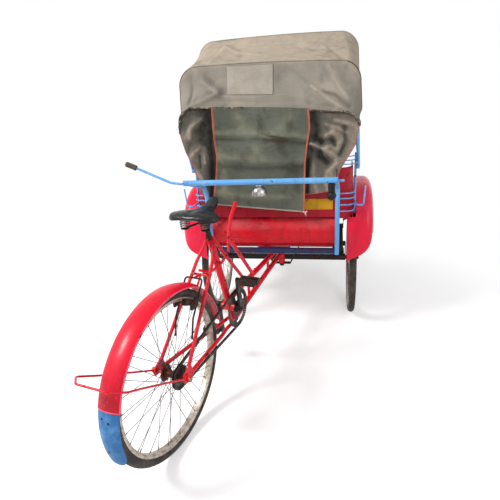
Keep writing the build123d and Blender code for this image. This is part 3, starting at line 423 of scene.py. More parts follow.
class Shape:
    # points and faces of one piece, gathered from simple forms
    def __init__(self):
        self.points, self.faces, self.marks = [], [], []

    def add(self, points, faces, mark=0):
        base = len(self.points)
        self.points += points
        self.faces += [tuple(base + i for i in face) for face in faces]
        self.marks += [mark] * len(faces)

    def grid(self, rows, mark=0, loopRows=False, loopColumns=False):
        count, across = len(rows), len(rows[0])
        faces = []
        for r in range(count if loopRows else count - 1):
            for c in range(across if loopColumns else across - 1):
                here, there = r * across, (r + 1) % count * across
                nextColumn = (c + 1) % across
                faces.append((here + c, here + nextColumn, there + nextColumn, there + c))
        self.add([p for row in rows for p in row], faces, mark)

    def tube(self, path, radius, sides=10, mark=0, flat=1.0, loop=False):
        # radius is one number or one for each point; flat squeezes the section
        rows = []
        normal = None
        last = len(path) - 1
        for i, p in enumerate(path):
            before = path[i - 1] if i or loop else path[0]
            after = path[(i + 1) % len(path)] if i < last or loop else path[last]
            run = (after - before).normalized()
            if normal is None:
                normal = run.orthogonal().normalized()
            normal = (normal - run * normal.dot(run)).normalized()
            other = run.cross(normal)
            r = radius[i] if hasattr(radius, "__len__") else radius
            rows.append([p + normal * (r * math.cos(k * math.tau / sides)) + other * (r * flat * math.sin(
                k * math.tau / sides)) for k in range(sides)])
        self.grid(rows, mark, loopRows=loop, loopColumns=True)
        if not loop:
            for row, order in ((rows[0], -1), (rows[-1], 1)):
                self.add(list(row), [tuple(range(sides))[::order]], mark)

    def lathe(self, profile, centre, axis, count, mark=0, loop=True, wave=None):
        # profile is (along the axis, radius) in metres; wave(angle, along, radius) may add to the radius
        start = axis.orthogonal().normalized()
        other = axis.cross(start)
        rows = []
        for k in range(count):
            angle = k * math.tau / count
            outward = start * math.cos(angle) + other * math.sin(angle)
            rows.append([centre + axis * along +
                         outward * (radius + (wave(angle, along, radius) if wave else 0))
                         for along, radius in profile])
        self.grid(rows, mark, loopRows=True, loopColumns=loop)

    def bolt(self, centre, axis, radius, height, mark=0):
        # a hexagon head with its shoulder broken
        start = axis.orthogonal().normalized()
        other = axis.cross(start)
        rows = []
        for along, r in ((0, radius), (height * 0.8, radius), (height, radius * 0.82)):
            rows.append([centre + axis * along + start * (r * math.cos(k * math.tau / 6)) +
                         other * (r * math.sin(k * math.tau / 6)) for k in range(6)])
        self.grid(rows, mark, loopColumns=True)
        self.add(list(rows[-1]), [(0, 1, 2, 3, 4, 5)], mark)

    def make(self, name, finishes, body="cabin", sharp=40):
        mesh = bpy.data.meshes.new(name)
        mesh.from_pydata([tuple(p) for p in self.points], [], self.faces)
        for face, mark in zip(mesh.polygons, self.marks):
            face.material_index = mark
            face.use_smooth = True
        form = bmesh.new()
        form.from_mesh(mesh)
        bmesh.ops.remove_doubles(form, verts=form.verts, dist=0.00001)
        bmesh.ops.recalc_face_normals(form, faces=form.faces)
        form.to_mesh(mesh)
        form.free()
        mesh.set_sharp_from_angle(angle=math.radians(sharp))
        for finish in finishes:
            mesh.materials.append(finish)
        obj = inScene(name, mesh)
        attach(obj, body)
        return obj


def thicken(obj, thickness, offset=-1.0):
    # a real thickness for a sheet, kept as a modifier
    wall = obj.modifiers.new("thickness", "SOLIDIFY")
    wall.thickness = thickness
    wall.offset = offset
    return obj


def worn(obj, rows):
    # painted light and shade of the folds at each point of a grid, from -1 for painted shade in a hollow to 1
    # for a painted highlight on a crest
    values = [max(-1.0, min(1.0, v / 12)) for row in rows for v in row]
    obj.data.attributes.new("foldShading", "FLOAT", "POINT").data.foreach_set("value", values)


def arcThrough(a, b, c, count):
    # points of the arc from a over b to c, clockwise, on a flat plane
    d = 2 * (a[0] * (b[1] - c[1]) + b[0] * (c[1] - a[1]) + c[0] * (a[1] - b[1]))
    squares = [p[0] ** 2 + p[1] ** 2 for p in (a, b, c)]
    middle = ((squares[0] * (b[1] - c[1]) + squares[1] * (c[1] - a[1]) + squares[2] * (a[1] - b[1])) / d,
              (squares[0] * (c[0] - b[0]) + squares[1] * (a[0] - c[0]) + squares[2] * (b[0] - a[0])) / d)
    start, half, end = (math.atan2(p[1] - middle[1], p[0] - middle[0]) for p in (a, b, c))
    while half > start:
        half -= math.tau
    while end > half:
        end -= math.tau
    radius = math.hypot(a[0] - middle[0], a[1] - middle[1])
    return [(middle[0] + radius * math.cos(start + (end - start) * k / count),
             middle[1] + radius * math.sin(start + (end - start) * k / count)) for k in range(count + 1)]


def nearness(x, y, path, width):
    # 1 on a broken line of (x, y) points, falling off sideways over the width
    best = 1e9
    for (ax, ay), (bx, by) in zip(path, path[1:]):
        along = ((x - ax) * (bx - ax) + (y - ay) * (by - ay)) / ((bx - ax) ** 2 + (by - ay) ** 2)
        along = min(1.0, max(0.0, along))
        best = min(best, math.hypot(x - ax - along * (bx - ax), y - ay - along * (by - ay)))
    return math.exp(-(best / width) ** 1.4)


def foldAt(x, y, folds):
    # how far the folds lift a point, in millimetres
    return sum(height * nearness(x, y, path, width) for path, height, width in folds)


def crease(x, y, folds):
    # painted light at a point: a painted highlight along each crest, with painted shade on its flanks
    return sum(height * (1.3 * nearness(x, y, path, width * 0.6) - 0.75 * nearness(x, y, path, width * 1.9))
               for path, height, width in folds)


def rough(x, y, z, size, seed=0.0):
    # smooth noise from -1 to 1 whose lumps are about that many millimetres across
    return noise.noise(Vector((x / size + seed, y / size, z / size)))


def normalAt(rows, r, c):
    # the sheet's own normal at one point of its grid
    down = rows[min(r + 1, len(rows) - 1)][c] - rows[max(r - 1, 0)][c]
    side = rows[r][min(c + 1, len(rows[r]) - 1)] - rows[r][max(c - 1, 0)]
    return side.cross(down).normalized()


def lifted(rows, lift, facing=1):
    # rows of points in millimetres; each moves along the sheet's normal by lift(row, column, point)
    return [[p + normalAt(rows, r, c) * (facing * lift(r, c, p)) for c, p in enumerate(row)]
            for r, row in enumerate(rows)]


def placed(rows):
    return [[cabin(*p) for p in row] for row in rows]


# The hood: cloth taut over four bows. Folds are broken lines in millimetres, (x, z) behind and (x, y) on top.
hoodLook = dict(
    bows=((-430, 470, 452, 1354, 1298, 1226), (-325, 486, 462, 1550, 1530, 1300),
          (0, 462, 462, 1694, 1690, 1440), (330, 458, 458, 1642, 1638, 1440)),
    shoulder=110.0, inward=-2.5, rowsBetween=(34, 44, 34), sag=(9.0, 12.0, 14.0), thickness=0.0022,
    rearFolds=(  # path, height, width
        (((-345, 1474), (-300, 1440), (-258, 1414)), 13.0, 16.0),
        (((-258, 1414), (-330, 1384), (-404, 1352)), 12.0, 13.0),
        (((-386, 1400), (-402, 1352)), 7.0, 9.0),
        (((-410, 1500), (-400, 1440), (-418, 1372)), -9.0, 26.0),
        (((-330, 1500), (-290, 1462)), -7.0, 24.0),
        (((214, 1419), (262, 1384), (311, 1347), (400, 1284)), 9.0, 13.0),
        (((250, 1392), (330, 1372), (400, 1316)), -6.0, 18.0),
        (((300, 1505), (330, 1440), (392, 1350)), 6.0, 22.0),
        (((-250, 1398), (-83, 1382), (60, 1386), (180, 1372)), 3.0, 7.0),
        (((-240, 1374), (-60, 1362), (140, 1352), (330, 1318)), -4.0, 12.0),
        (((120, 1500), (190, 1440)), -4.0, 30.0)),
    topFolds=(
        (((-280, -84), (-200, -146), (-122, -190), (-40, -240), (41, -282), (182, -318)), 9.0, 14.0),
        (((219, -276), (280, -310), (334, -316)), 7.0, 11.0),
        (((262, -200), (310, -262), (346, -310)), 9.0, 10.0),
        (((300, -160), (330, -220), (366, -280)), -6.0, 14.0),
        (((174, -172), (236, -226), (302, -275)), 7.0, 12.0),
        (((-280, -106), (-300, -200), (-318, -300)), 9.0, 22.0),
        (((-230, -60), (-180, -150), (-160, -260)), -5.0, 36.0),
        (((193, -163), (240, -128), (279, -96)), 5.0, 12.0),
        (((274, -150), (302, -220), (330, -318)), 6.0, 12.0),
        (((60, -40), (120, -120), (210, -200)), -4.0, 34.0),
        (((380, -60), (400, -160), (398, -290)), 6.0, 20.0)))


def archOf(y, left, right, high, low, foot):
    # one bow line of the cloth, from the left foot over the top to the right foot
    left, right, high, low = (v - hoodLook["inward"] for v in (left, right, high, low))
    fall = min(hoodLook["shoulder"], low - foot - 2)
    steps = 18
    line = [(-left + 8 * k / steps, foot + (high - fall - foot) * k / steps) for k in range(steps)]
    line += arcThrough((-left + 8, high - fall), (-left + 34, high - fall * 0.36),
                       (-left + 100, high - 7), 24)[:-1]
    line += arcThrough((-left + 100, high - 7), (0, (high + low) / 2), (right - 100, low - 7), 100)[:-1]
    line += arcThrough((right - 100, low - 7), (right - 34, low - fall * 0.36),
                       (right - 8, low - fall), 24)[:-1]
    line += [(right - 8 + 8 * k / steps, low - fall + (foot - low + fall) * k / steps)
             for k in range(steps + 1)]
    return [Vector((x, y, z)) for x, z in line]


hoodRows, hoodPanel = [], []
for panel, count in enumerate(hoodLook["rowsBetween"]):
    first, second = hoodLook["bows"][panel:panel + 2]
    for k in range(count + (panel == 2)):
        share = k / count
        hoodRows.append(archOf(*(a + (b - a) * share for a, b in zip(first, second))))
        hoodPanel.append((panel, share))


def hoodEdge(panel, share):
    # folds die out at the bows, less so at the rear edge
    return min(1.0, 3.2 * math.sin(math.pi * share) + (0.25 if panel == 0 and share < 0.5 else 0.0))


def hoodLift(r, c, p):
    panel, share = hoodPanel[r]
    lift = -hoodLook["sag"][panel] * math.sin(math.pi * share) ** 1.6
    edge = hoodEdge(panel, share)
    x, y, folds = ((p.x, p.z, hoodLook["rearFolds"]), (p.x, p.y, hoodLook["topFolds"]), (0, 0, ()))[panel]
    lift += foldAt(x, y, folds) * edge
    if panel == 2:
        lift += 5.0 * edge * rough(p.x * 0.5, p.y, p.z, 90.0, 3.0)
    lift += (3.2 * rough(p.x, p.y, p.z, 130.0) + 1.3 * rough(p.x, p.y, p.z, 46.0, 5.0)) * edge
    if r < 5:
        lift += (5 - r) * 0.8 * rough(p.x, 0, 0, 22.0, 9.0)
    return lift


hoodRows = lifted(hoodRows, hoodLift)
skirt = [[Vector((p.x, p.y - back, p.z - down)) for p in hoodRows[0]]
         for back, down in ((13.0, 5.0), (7.0, 0.6))]


def hoodCrease(r, p):
    panel = hoodPanel[r][0]
    if panel == 0:
        return 1.7 * crease(p.x, p.z, hoodLook["rearFolds"])
    return 1.7 * crease(p.x, p.y, hoodLook["topFolds"]) if panel == 1 else 0


# painted highlight on the hood's fold crests and painted shade on their flanks
hoodFoldShade = [[hoodCrease(r, p) for p in row] for r, row in enumerate(hoodRows)]
hood = Shape()
hood.grid(placed(skirt + hoodRows))
hoodCanvas = thicken(hood.make("hoodCanvas", [cloths["hoodCanvas"]], sharp=80), hoodLook["thickness"])
worn(hoodCanvas, [hoodFoldShade[0]] * 2 + hoodFoldShade)
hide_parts("hood_canvas")
rearCount = hoodLook["rowsBetween"][0]
topCount = rearCount + hoodLook["rowsBetween"][1]


def outside(r, c, lift):
    # a point of the hood raised off its surface, in millimetres
    return cabin(*(hoodRows[r][c] + normalAt(hoodRows, r, c) * lift))


# Lighter patch sewn on behind, with its stitches
patchLook = dict(rows=(10, rearCount - 1), fromX=-212.0, toX=32.0, fromZ=1350.0, lift=2.0)
firstRow, lastRow = patchLook["rows"]
patchColumns = [c for c, p in enumerate(hoodRows[20])
                if patchLook["fromX"] < p.x < patchLook["toX"] and p.z > patchLook["fromZ"]]
patch = Shape()
patch.grid([[outside(r, c, patchLook["lift"]) for c in patchColumns] for r in range(firstRow, lastRow)])
hoodPatch = thicken(patch.make("hoodPatch", [cloths["patchCloth"]], sharp=80), 0.0012, 0.0)
stitches = Shape()
ring = [(firstRow + 1, c) for c in patchColumns[1:-1]]
ring += [(r, patchColumns[-2]) for r in range(firstRow + 1, lastRow - 1)]
ring += [(lastRow - 2, c) for c in patchColumns[-2:0:-1]]
ring += [(r, patchColumns[1]) for r in range(lastRow - 2, firstRow + 1, -1)]
line = [outside(r, c, patchLook["lift"] + 0.9) for r, c in ring]
for a, b in zip(line, line[1:]):
    stitches.tube([a.lerp(b, 0.15), a.lerp(b, 0.75)], 0.0005, 5)
patchStitches = stitches.make("patchStitches", [cloths["threadPale"]])

# Edges: frayed dark binding behind, seams over the bows, hems along the feet
edgeLook = dict(bindingRadius=5.0, threads=16, tatters=30, seamRadius=2.0, hemRadius=2.6)
draw = random.Random(11)
binding = Shape()
lastColumn = len(hoodRows[0]) - 1
path, radii = [], []
for p in hoodRows[0]:
    path.append(cabin(p.x, p.y - 14.0 + 1.2 * rough(p.x, 0, p.z, 14.0, 2.0),
                      p.z - 3.0 + 2.2 * rough(p.x, 0, p.z, 19.0, 4.0)))
    radii.append(max(0.0016, (edgeLook["bindingRadius"] + 2.6 * rough(p.x, 0, p.z, 26.0, 7.0)) / 1000))
binding.tube(path, radii, 8)
for count in range(edgeLook["tatters"]):
    c = draw.randrange(14, lastColumn - 16)
    p = hoodRows[0][c]
    length, drop = draw.uniform(8, 26), draw.uniform(3, 8)
    q = Vector((p.x + length, p.y, hoodRows[0][min(lastColumn, c + int(length / 6))].z))
    rows = []
    for k in range(6):
        s = k / 5
        mid = p.lerp(q, s)
        wide = drop * math.sin(math.pi * (0.12 + 0.8 * s)) * draw.uniform(0.6, 1.1)
        rows.append([cabin(mid.x, mid.y - 17.5, mid.z + 2.5),
                     cabin(mid.x, mid.y - 19.5 - draw.random() * 2, mid.z - wide)])
    binding.grid(rows, 1)
for count in range(edgeLook["threads"]):
    c = draw.randrange(10, lastColumn - 10)
    p = hoodRows[0][c]
    length = draw.uniform(10, 34)
    lean, curl = draw.uniform(-0.6, 0.6), draw.uniform(-8, 8)
    binding.tube([cabin(p.x + lean * length * s + curl * s * s, p.y - 18 - 3 * s, p.z - length * s)
                  for s in (0, 0.3, 0.6, 0.85, 1.0)], 0.0006, 5, 1)
hoodBinding = binding.make("hoodBinding", [cloths["bindingDark"], cloths["hoodCanvas"]], sharp=60)

seams = Shape()
for r, ends in ((rearCount, ((0, 34, 0), (34, lastColumn - 38, 1), (lastColumn - 38, lastColumn, 0))),
                (topCount, ((0, lastColumn, 1),)), (len(hoodRows) - 1, ((0, lastColumn, 1),))):
    for start, end, mark in ends:
        seams.tube([outside(r, c, 1.4) for c in range(start, end + 1)],
                   edgeLook["seamRadius"] / 1000 * (1.3 if r == len(hoodRows) - 1 else 1), 7, mark)
for c in (0, lastColumn):
    seams.tube([cabin(*hoodRows[r][c]) for r in range(len(hoodRows))], edgeLook["hemRadius"] / 1000, 7, 1)
hoodSeams = seams.make("hoodSeams", [cloths["bindingDark"], cloths["hoodCanvas"]])
print("hood done")


def between(table, share):
    # a point of a broken line at a share of its rows
    spot = share * (len(table) - 1)
    k = min(len(table) - 2, int(spot))
    return tuple(a + (b - a) * (spot - k) for a, b in zip(table[k], table[k + 1]))


def edgeAt(table, z):
    # x of a table of (x, z) rows from high to low, at that height
    for (ax, az), (bx, bz) in zip(table, table[1:]):
        if z >= bz:
            return ax + (bx - ax) * (az - z) / (az - bz)
    return table[-1][0]


# Rear curtain, let down from the rear bow, with orange piping, a pale hem and a knot at its corner
curtainLook = dict(
    y=-446.0, rows=86, columns=74, thickness=0.0018,
    left=((-282, 1344), (-282, 1284), (-281, 1186), (-275, 1099), (-288, 995), (-308, 903), (-315, 842)),
    right=((206, 1316), (209, 1260), (211, 1223), (196, 1135), (186, 1051), (180, 895), (177, 795)),
    folds=(  # path, height, width
        (((-270, 1190), (-100, 1176), (60, 1168), (196, 1148)), -5.0, 16.0),
        (((-270, 1216), (-60, 1204), (120, 1190), (200, 1176)), 5.0, 20.0),
        (((-230, 1092), (0, 1070), (180, 1064)), 4.0, 26.0),
        (((-260, 1048), (-60, 1030), (170, 1034)), -4.0, 22.0),
        (((-150, 1300), (-120, 1240), (-60, 1120)), 4.0, 40.0),
        (((120, 1290), (70, 1230), (-10, 1160)), 4.0, 30.0),
        (((-290, 900), (-80, 884), (160, 872)), 4.0, 22.0),
        (((60, 1140), (130, 1010), (150, 880)), -4.0, 40.0),
        (((-262, 1130), (-240, 1010), (-250, 900)), 5.0, 24.0)))
curtainRows = []
for r in range(curtainLook["rows"] + 1):
    share = r / curtainLook["rows"]
    row = []
    for c in range(curtainLook["columns"] + 1):
        side = c / curtainLook["columns"]
        top = curtainLook["left"][0][1] * (1 - side) + curtainLook["right"][0][1] * side
        top += 5.0 * math.sin(math.pi * side)
        foot = curtainLook["left"][-1][1] * (1 - side) + curtainLook["right"][-1][1] * side
        z = top + (foot - top) * share
        left, right = edgeAt(curtainLook["left"], z), edgeAt(curtainLook["right"], z)
        row.append(Vector((left + (right - left) * side, curtainLook["y"], z)))
    curtainRows.append(row)


def curtainLift(r, c, p):
    share = r / curtainLook["rows"]
    side = c / curtainLook["columns"]
    loose = min(1.0, 5 * share)
    lift = foldAt(p.x, p.z, curtainLook["folds"])
    lift += 3.0 * rough(p.x * 0.35, 0, p.z, 44.0) + 1.6 * rough(p.x * 0.5, 0, p.z, 18.0, 3.0)
    lift += 5.0 * math.sin(math.pi * side) * share
    curl = math.exp(-side * 20) + math.exp(-(1 - side) * 20)
    lift += curl * (3.0 + 3.0 * rough(0, 0, p.z, 60.0, 8.0 + (side > 0.5) * 5))
    return 3.0 + lift * loose


# painted highlight on the curtain's fold crests and painted shade in its hollows
curtainFoldShade = [[2 * foldAt(p.x, p.z, curtainLook["folds"]) for p in row] for row in curtainRows]
curtainRows = lifted(curtainRows, curtainLift, -1)
curtain = Shape()
curtain.grid(placed(curtainRows))
rearCurtain = thicken(curtain.make("rearCurtain", [cloths["curtainOlive"]], sharp=80),
                      curtainLook["thickness"], 0.0)
worn(rearCurtain, curtainFoldShade)
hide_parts("rear_curtain")
trim = Shape()
for c in (0, curtainLook["columns"]):
    trim.tube([cabin(p.x, p.y - 1.0, p.z) for p in (row[c] for row in curtainRows)], 0.0030, 8)
    strip = (0, 1) if c == 0 else (c, c - 1)
    trim.grid([[cabin(row[k].x, row[k].y - 1.6, row[k].z) for k in strip] for row in curtainRows])
trim.grid([[cabin(p.x, p.y - lift, p.z + up) for up, lift in ((-4, 0.5), (-3, 3.0), (1, 3.0), (4, 1.2))]
           for p in curtainRows[-1]], 1)
curtainTrim = trim.make("curtainTrim", [cloths["pipingOrange"], cloths["hoodCanvas"]], sharp=60)
knotLook = dict(place=(183.0, -452.0, 792.0), radius=7.5, cord=0.0030)
knot = Shape()
kx, ky, kz = knotLook["place"]
knot.tube([cabin(kx + knotLook["radius"] * (math.sin(a) + 1.1 * math.sin(2 * a)) * 0.62,
                 ky + knotLook["radius"] * math.sin(3 * a) * 0.6,
                 kz + knotLook["radius"] * (math.cos(a) - 1.1 * math.cos(2 * a)) * 0.62)
           for a in (k * math.tau / 60 for k in range(60))], knotLook["cord"], 8, loop=True)
knot.tube([cabin(kx, ky + 2, kz - 4), cabin(kx + 4, ky, kz - 12), cabin(kx + 3, ky, kz - 20)], 0.0018, 7)
curtainKnot = knot.make("curtainKnot", [cloths["threadPale"]])
print("curtain done")

# Side cloths beside the curtain, bunched inwards. Tables are (x, z) from the top down.
sideLooks = {
    "sideClothLeft": dict(
        node="side_cloth_left", sign=-1, innerShade=13.0, outerPale=5.0,
        inner=((-250, 1338), (-256, 1080), (-300, 866)),
        outer=((-464, 1232), (-459, 1190), (-446, 1126), (-409, 1040), (-394, 973), (-386, 920), (-372, 884)),
        folds=((((-348, 1287), (-402, 1250), (-415, 1198)), 12.0, 12.0),
               (((-330, 1250), (-352, 1180), (-350, 1130)), -9.0, 24.0),
               (((-363, 1149), (-419, 1103)), 11.0, 12.0), (((-344, 1138), (-343, 1067)), 13.0, 18.0),
               (((-420, 1160), (-436, 1120)), -7.0, 14.0), (((-372, 1100), (-376, 1040)), -9.0, 12.0),
               (((-293, 1320), (-301, 1086), (-306, 1003), (-318, 900)), -13.0, 20.0),
               (((-400, 1020), (-360, 960), (-350, 900)), 8.0, 13.0),
               (((-440, 1200), (-424, 1230), (-380, 1290)), 7.0, 14.0))),
    "sideClothRight": dict(
        node="side_cloth_right", sign=1, innerShade=3.0, outerPale=9.0,
        inner=((190, 1322), (184, 1080), (160, 880)),
        outer=((446, 1230), (444, 1196), (433, 1133), (396, 1070), (365, 1019), (346, 973), (336, 906)),
        folds=((((214, 1147), (287, 1113), (339, 1072), (349, 1046), (323, 1020), (327, 980)), 24.0, 11.0),
               (((268, 1152), (261, 1081), (300, 1047)), -14.0, 20.0),
               (((290, 1180), (322, 1196), (363, 1161), (345, 1111), (300, 1128)), 16.0, 13.0),
               (((318, 1160), (334, 1134)), -10.0, 10.0),
               (((330, 1256), (392, 1236), (440, 1213)), 9.0, 10.0),
               (((290, 1236), (350, 1216), (410, 1176)), 8.0, 12.0), (((372, 1130), (352, 1080)), -9.0, 12.0),
               (((230, 1300), (250, 1210), (220, 1130)), -8.0, 24.0),
               (((378, 1216), (384, 1160)), -8.0, 14.0),
               (((300, 1004), (296, 940), (310, 905)), 9.0, 12.0), (((340, 1010), (344, 960)), -8.0, 8.0),
               (((230, 1040), (226, 960), (250, 890)), 8.0, 20.0),
               (((196, 1060), (192, 900)), -9.0, 16.0)))}
rowCount, columnCount = 78, 56
for name, look in sideLooks.items():
    arch = [p for p in hoodRows[0] if p.z > 1232]
    inner0 = look["inner"][0][0]
    top = [(p.x, p.z - 2) for p in arch if p.x * look["sign"] >= inner0 * look["sign"]]
    top = sorted(top, key=lambda p: abs(p[0]) - p[1] * 0.2)
    rows = []
    for r in range(rowCount + 1):
        share = r / rowCount
        inner, outer = between(look["inner"], share), between(look["outer"], share)
        row = []
        for c in range(columnCount + 1):
            side = c / columnCount
            hung = between(top, side)
            flat = tuple(a + (b - a) * side for a, b in zip(inner, outer))
            start = tuple(a + (b - a) * side for a, b in zip(look["inner"][0], look["outer"][0]))
            keep = (1 - share) ** 3
            row.append(Vector((flat[0] + (hung[0] - start[0]) * keep, -440.0,
                               flat[1] + (hung[1] - start[1]) * keep)))
        rows.append(row)

    def clothLift(r, c, p, look=look):
        loose = min(1.0, 6 * r / rowCount) * min(1.0, 0.35 + (columnCount - c) / 20)
        lift = foldAt(p.x, p.z, look["folds"])
        lift += 4.0 * rough(p.x, 0, p.z * 0.6, 42.0, look["sign"] * 3.0) + 1.4 * rough(p.x, 0, p.z, 16.0, 5.0)
        return lift * loose - 7.0 * min(1.0, r / 8) * max(0.0, 1 - c / 16)

    facing = -look["sign"]
    # painted shade darkening the cloth towards its inner edge, painted light towards its outer edge, and
    # painted highlight and shade on the folds
    foldShading = [[foldAt(p.x, p.z, look["folds"]) - look["innerShade"] * (1 - c / columnCount) ** 1.5 +
             look["outerPale"] * (c / columnCount) ** 2
             for c, p in enumerate(row)] for row in rows]
    rows = lifted(rows, clothLift, facing)
    cloth = Shape()
    cloth.grid(placed(rows))
    piece = thicken(cloth.make(name, [cloths["sideCanvas"]], sharp=80), 0.0018, 0.0)
    worn(piece, foldShading)
    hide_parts(look["node"])
    border = Shape()
    border.tube([cabin(*row[-1]) for row in rows], 0.0022, 7)
    border.tube([cabin(*p) for p in rows[-1]], 0.0018, 7)
    edge = border.make(name + "Piping", [cloths["pipingOrange"]])
print("side cloths done")

# Wheels: rim with rolled edges, thin crossed spokes with nipples, and a barrel hub
parkedAxis = Matrix.Rotation(parkTurn, 3, "Z") @ Vector((1, 0, 0))
wheelLook = dict(
    spokes=18, lean=62.0, spokeRadius=1.3, nippleRadius=2.2, nippleLength=13.0, rimSteps=150,
    rim=((-17, 317), (-15.5, 319), (-13.5, 312), (-9, 305.5), (9, 305.5), (13.5, 312), (15.5, 319), (17, 317),
         (17.4, 313), (16.6, 309.5), (12, 306.5), (9.4, 302), (-9.4, 302), (-12, 306.5), (-16.6, 309.5),
         (-17.4, 313)),
    wheels=(  # name, body, centre, axis, flange offset, flange radius, hub half
        ("front_wheel_left", "wheel_left", cabin(-445, 0, 355), Vector((1, 0, 0)), 24, 24, 34),
        ("front_wheel_right", "wheel_right", cabin(445, 0, 355), Vector((1, 0, 0)), 24, 24, 34),
        ("rear_wheel", "rear_wheel", rear(0, 0, 355), parkedAxis, 26, 30, 38)))


def toothedRim(radius, teeth, depth):
    outline = []
    for tooth in range(teeth):
        for offset, grow in ((-0.34, -depth), (-0.2, -depth * 0.1), (-0.08, depth * 0.4), (0.08, depth * 0.4),
                             (0.2, -depth * 0.1), (0.34, -depth)):
            turn = math.tau * (tooth + offset) / teeth
            outline.append(((radius + grow) * math.cos(turn), (radius + grow) * math.sin(turn)))
    return outline


for node, body, centre, axis, offset, flange, half in wheelLook["wheels"]:
    wheel = Shape()
    wheel.lathe(metres(wheelLook["rim"]), centre, axis, wheelLook["rimSteps"], 0)
    hub = [(-half, 8), (-half, 12.5), (-offset - 5, 14), (-offset - 4, flange + 4),
           (-offset - 2, flange + 5.5), (-offset + 0.5, flange + 4), (-offset + 2, 17.5), (-offset + 8, 15.5)]
    hub += [(-x, r) for x, r in hub[::-1]]
    wheel.lathe(metres(hub), centre, axis, 40, 2)
    up = Vector((0, 0, 1))
    forward = up.cross(axis)
    step = 360 / wheelLook["spokes"]
    for side, start in ((-1, 0), (1, step / 2)):
        for count in range(wheelLook["spokes"]):
            turn = math.radians(count * step + start)
            lean = turn + math.radians(wheelLook["lean"] if count % 2 else -wheelLook["lean"])
            along = side * (offset + (1.6 if count % 2 else -1.6)) / 1000
            root = centre + axis * along + (forward * math.cos(turn) + up * math.sin(turn)) * flange / 1000
            tip = centre + axis * (side * 0.005) + (forward * math.cos(lean) + up * math.sin(lean)) * 0.3035
            run = (tip - root).normalized()
            wheel.tube([root, tip], wheelLook["spokeRadius"] / 1000, 6, 1)
            wheel.tube([tip - run * (wheelLook["nippleLength"] / 1000), tip],
                       wheelLook["nippleRadius"] / 1000, 6, 1)
    if node == "rear_wheel":
        outline = toothedRim(12.7 / (2 * math.sin(math.pi / 24)), 24, 4.0)
        rows = [[centre + axis * (x / 1000) + (forward * a + up * b) * (k / 1000) for a, b in outline]
                for x, k in ((42.6, 0.5), (42.6, 0.93), (42.6, 1), (45.4, 1), (45.4, 0.93), (45.4, 0.5))]
        wheel.grid(rows, 3, loopRows=True, loopColumns=True)
        for ring in (((36, 8), (36, 22), (48, 22), (49, 20), (49, 8)),
                     ((42.9, 20), (42.9, 27), (45.1, 27), (45.1, 20))):
            wheel.lathe(metres(ring), centre, axis, 32, 3)
        for k in range(5):
            turn = k * math.tau / 5
            out = forward * math.cos(turn) + up * math.sin(turn)
            wheel.tube([centre + axis * 0.044 + out * reach for reach in (0.024, 0.03)], 0.0045, 8, 3, 0.3)
    piece = wheel.make(node.replace("_", "") + "Built", [metals["rimSteel"], metals["spokeSteel"],
                                                         metals["hubBrown"], metals["chainSteel"]], body)
    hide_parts(node)
print("wheels done")

# Tyres: raised ribs on the sidewalls and a blocked tread
tyreLook = dict(steps=240, notches=60, notchDepth=1.5, groove=1.4)


def tyreProfile():
    profile = [(-15, 317), (15, 317), (16.4, 321), (18.2, 325.5), (19.2, 328), (19.9, 328.8), (19.7, 330),
               (20, 333)]
    outer = arcThrough((-20, 333), (-14.4, 348.5), (0, 355), 12)[1:-1]
    profile += [(-x, r) for x, r in outer if x <= -9.4]
    for x, grooved in ((9.4, 0), (8.6, 1), (7.8, 0), (4.0, 0), (3.2, 1), (2.4, 0), (-2.4, 0), (-3.2, 1),
                       (-4.0, 0), (-7.8, 0), (-8.6, 1), (-9.4, 0)):
        profile.append((x, 355 - 0.0305 * x * x - grooved * tyreLook["groove"]))
    profile += [p for p in outer[::-1] if p[0] < -9.4]
    profile += [(-20, 333), (-19.7, 330), (-19.9, 328.8), (-19.2, 328), (-18.2, 325.5), (-16.4, 321)]
    return metres(profile)


def treadWave(angle, along, radius):
    if not 0.0042 < abs(along) < 0.0136 or radius < 0.345:
        return 0
    beat = math.sin(angle * tyreLook["notches"] + abs(along) * 420)
    return -tyreLook["notchDepth"] / 1000 if beat > 0.3 else 0


for wheelNode, body, centre, axis, *hubSizes in wheelLook["wheels"]:
    node = wheelNode.replace("wheel", "tyre")
    tyre = Shape()
    tyre.lathe(tyreProfile(), centre, axis, tyreLook["steps"], wave=treadWave)
    piece = tyre.make(node.replace("_", "") + "Built", [rubbers["tyreRubber"]], body)
    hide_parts(node)
print("tyres done")

# Rear mudguard: rolled beads along its edges, the blue flap with round corners, and its rivets
guardLook = dict(radius=378.0, half=46.0, shift=12.0, drop=12.0, bead=2.6, start=59.5, blue=163.0, end=197.0,
                 cornerDegrees=9.0)


def guardPoint(across, angle, rise=0.0, half=guardLook["half"], shift=guardLook["shift"]):
    # a point on the crown of the mudguard: across from its middle, round the wheel, and off the surface
    a = math.radians(angle)
    drop = guardLook["drop"] * half / guardLook["half"] * (across / half) ** 2
    r = guardLook["radius"] - drop + rise
    return rear(shift + across, r * math.cos(a), 355 + r * math.sin(a))


beads = Shape()
redPart = guardLook["blue"] - guardLook["start"]
for side in (-1, 1):
    beads.tube([guardPoint(side * 45.5, guardLook["start"] + redPart * k / 70, -1.2) for k in range(71)],
               guardLook["bead"] / 1000, 8)
    beads.tube([guardPoint(side * 31.6, 8.5 + 50.5 * k / 40, -1.2, 32.0, 0.0) for k in range(41)],
               guardLook["bead"] / 1000 * 0.8, 8)
beads.tube([guardPoint(-45 + 90 * k / 20, guardLook["blue"] - 0.5, 1.2) for k in range(21)], 0.0018, 7)
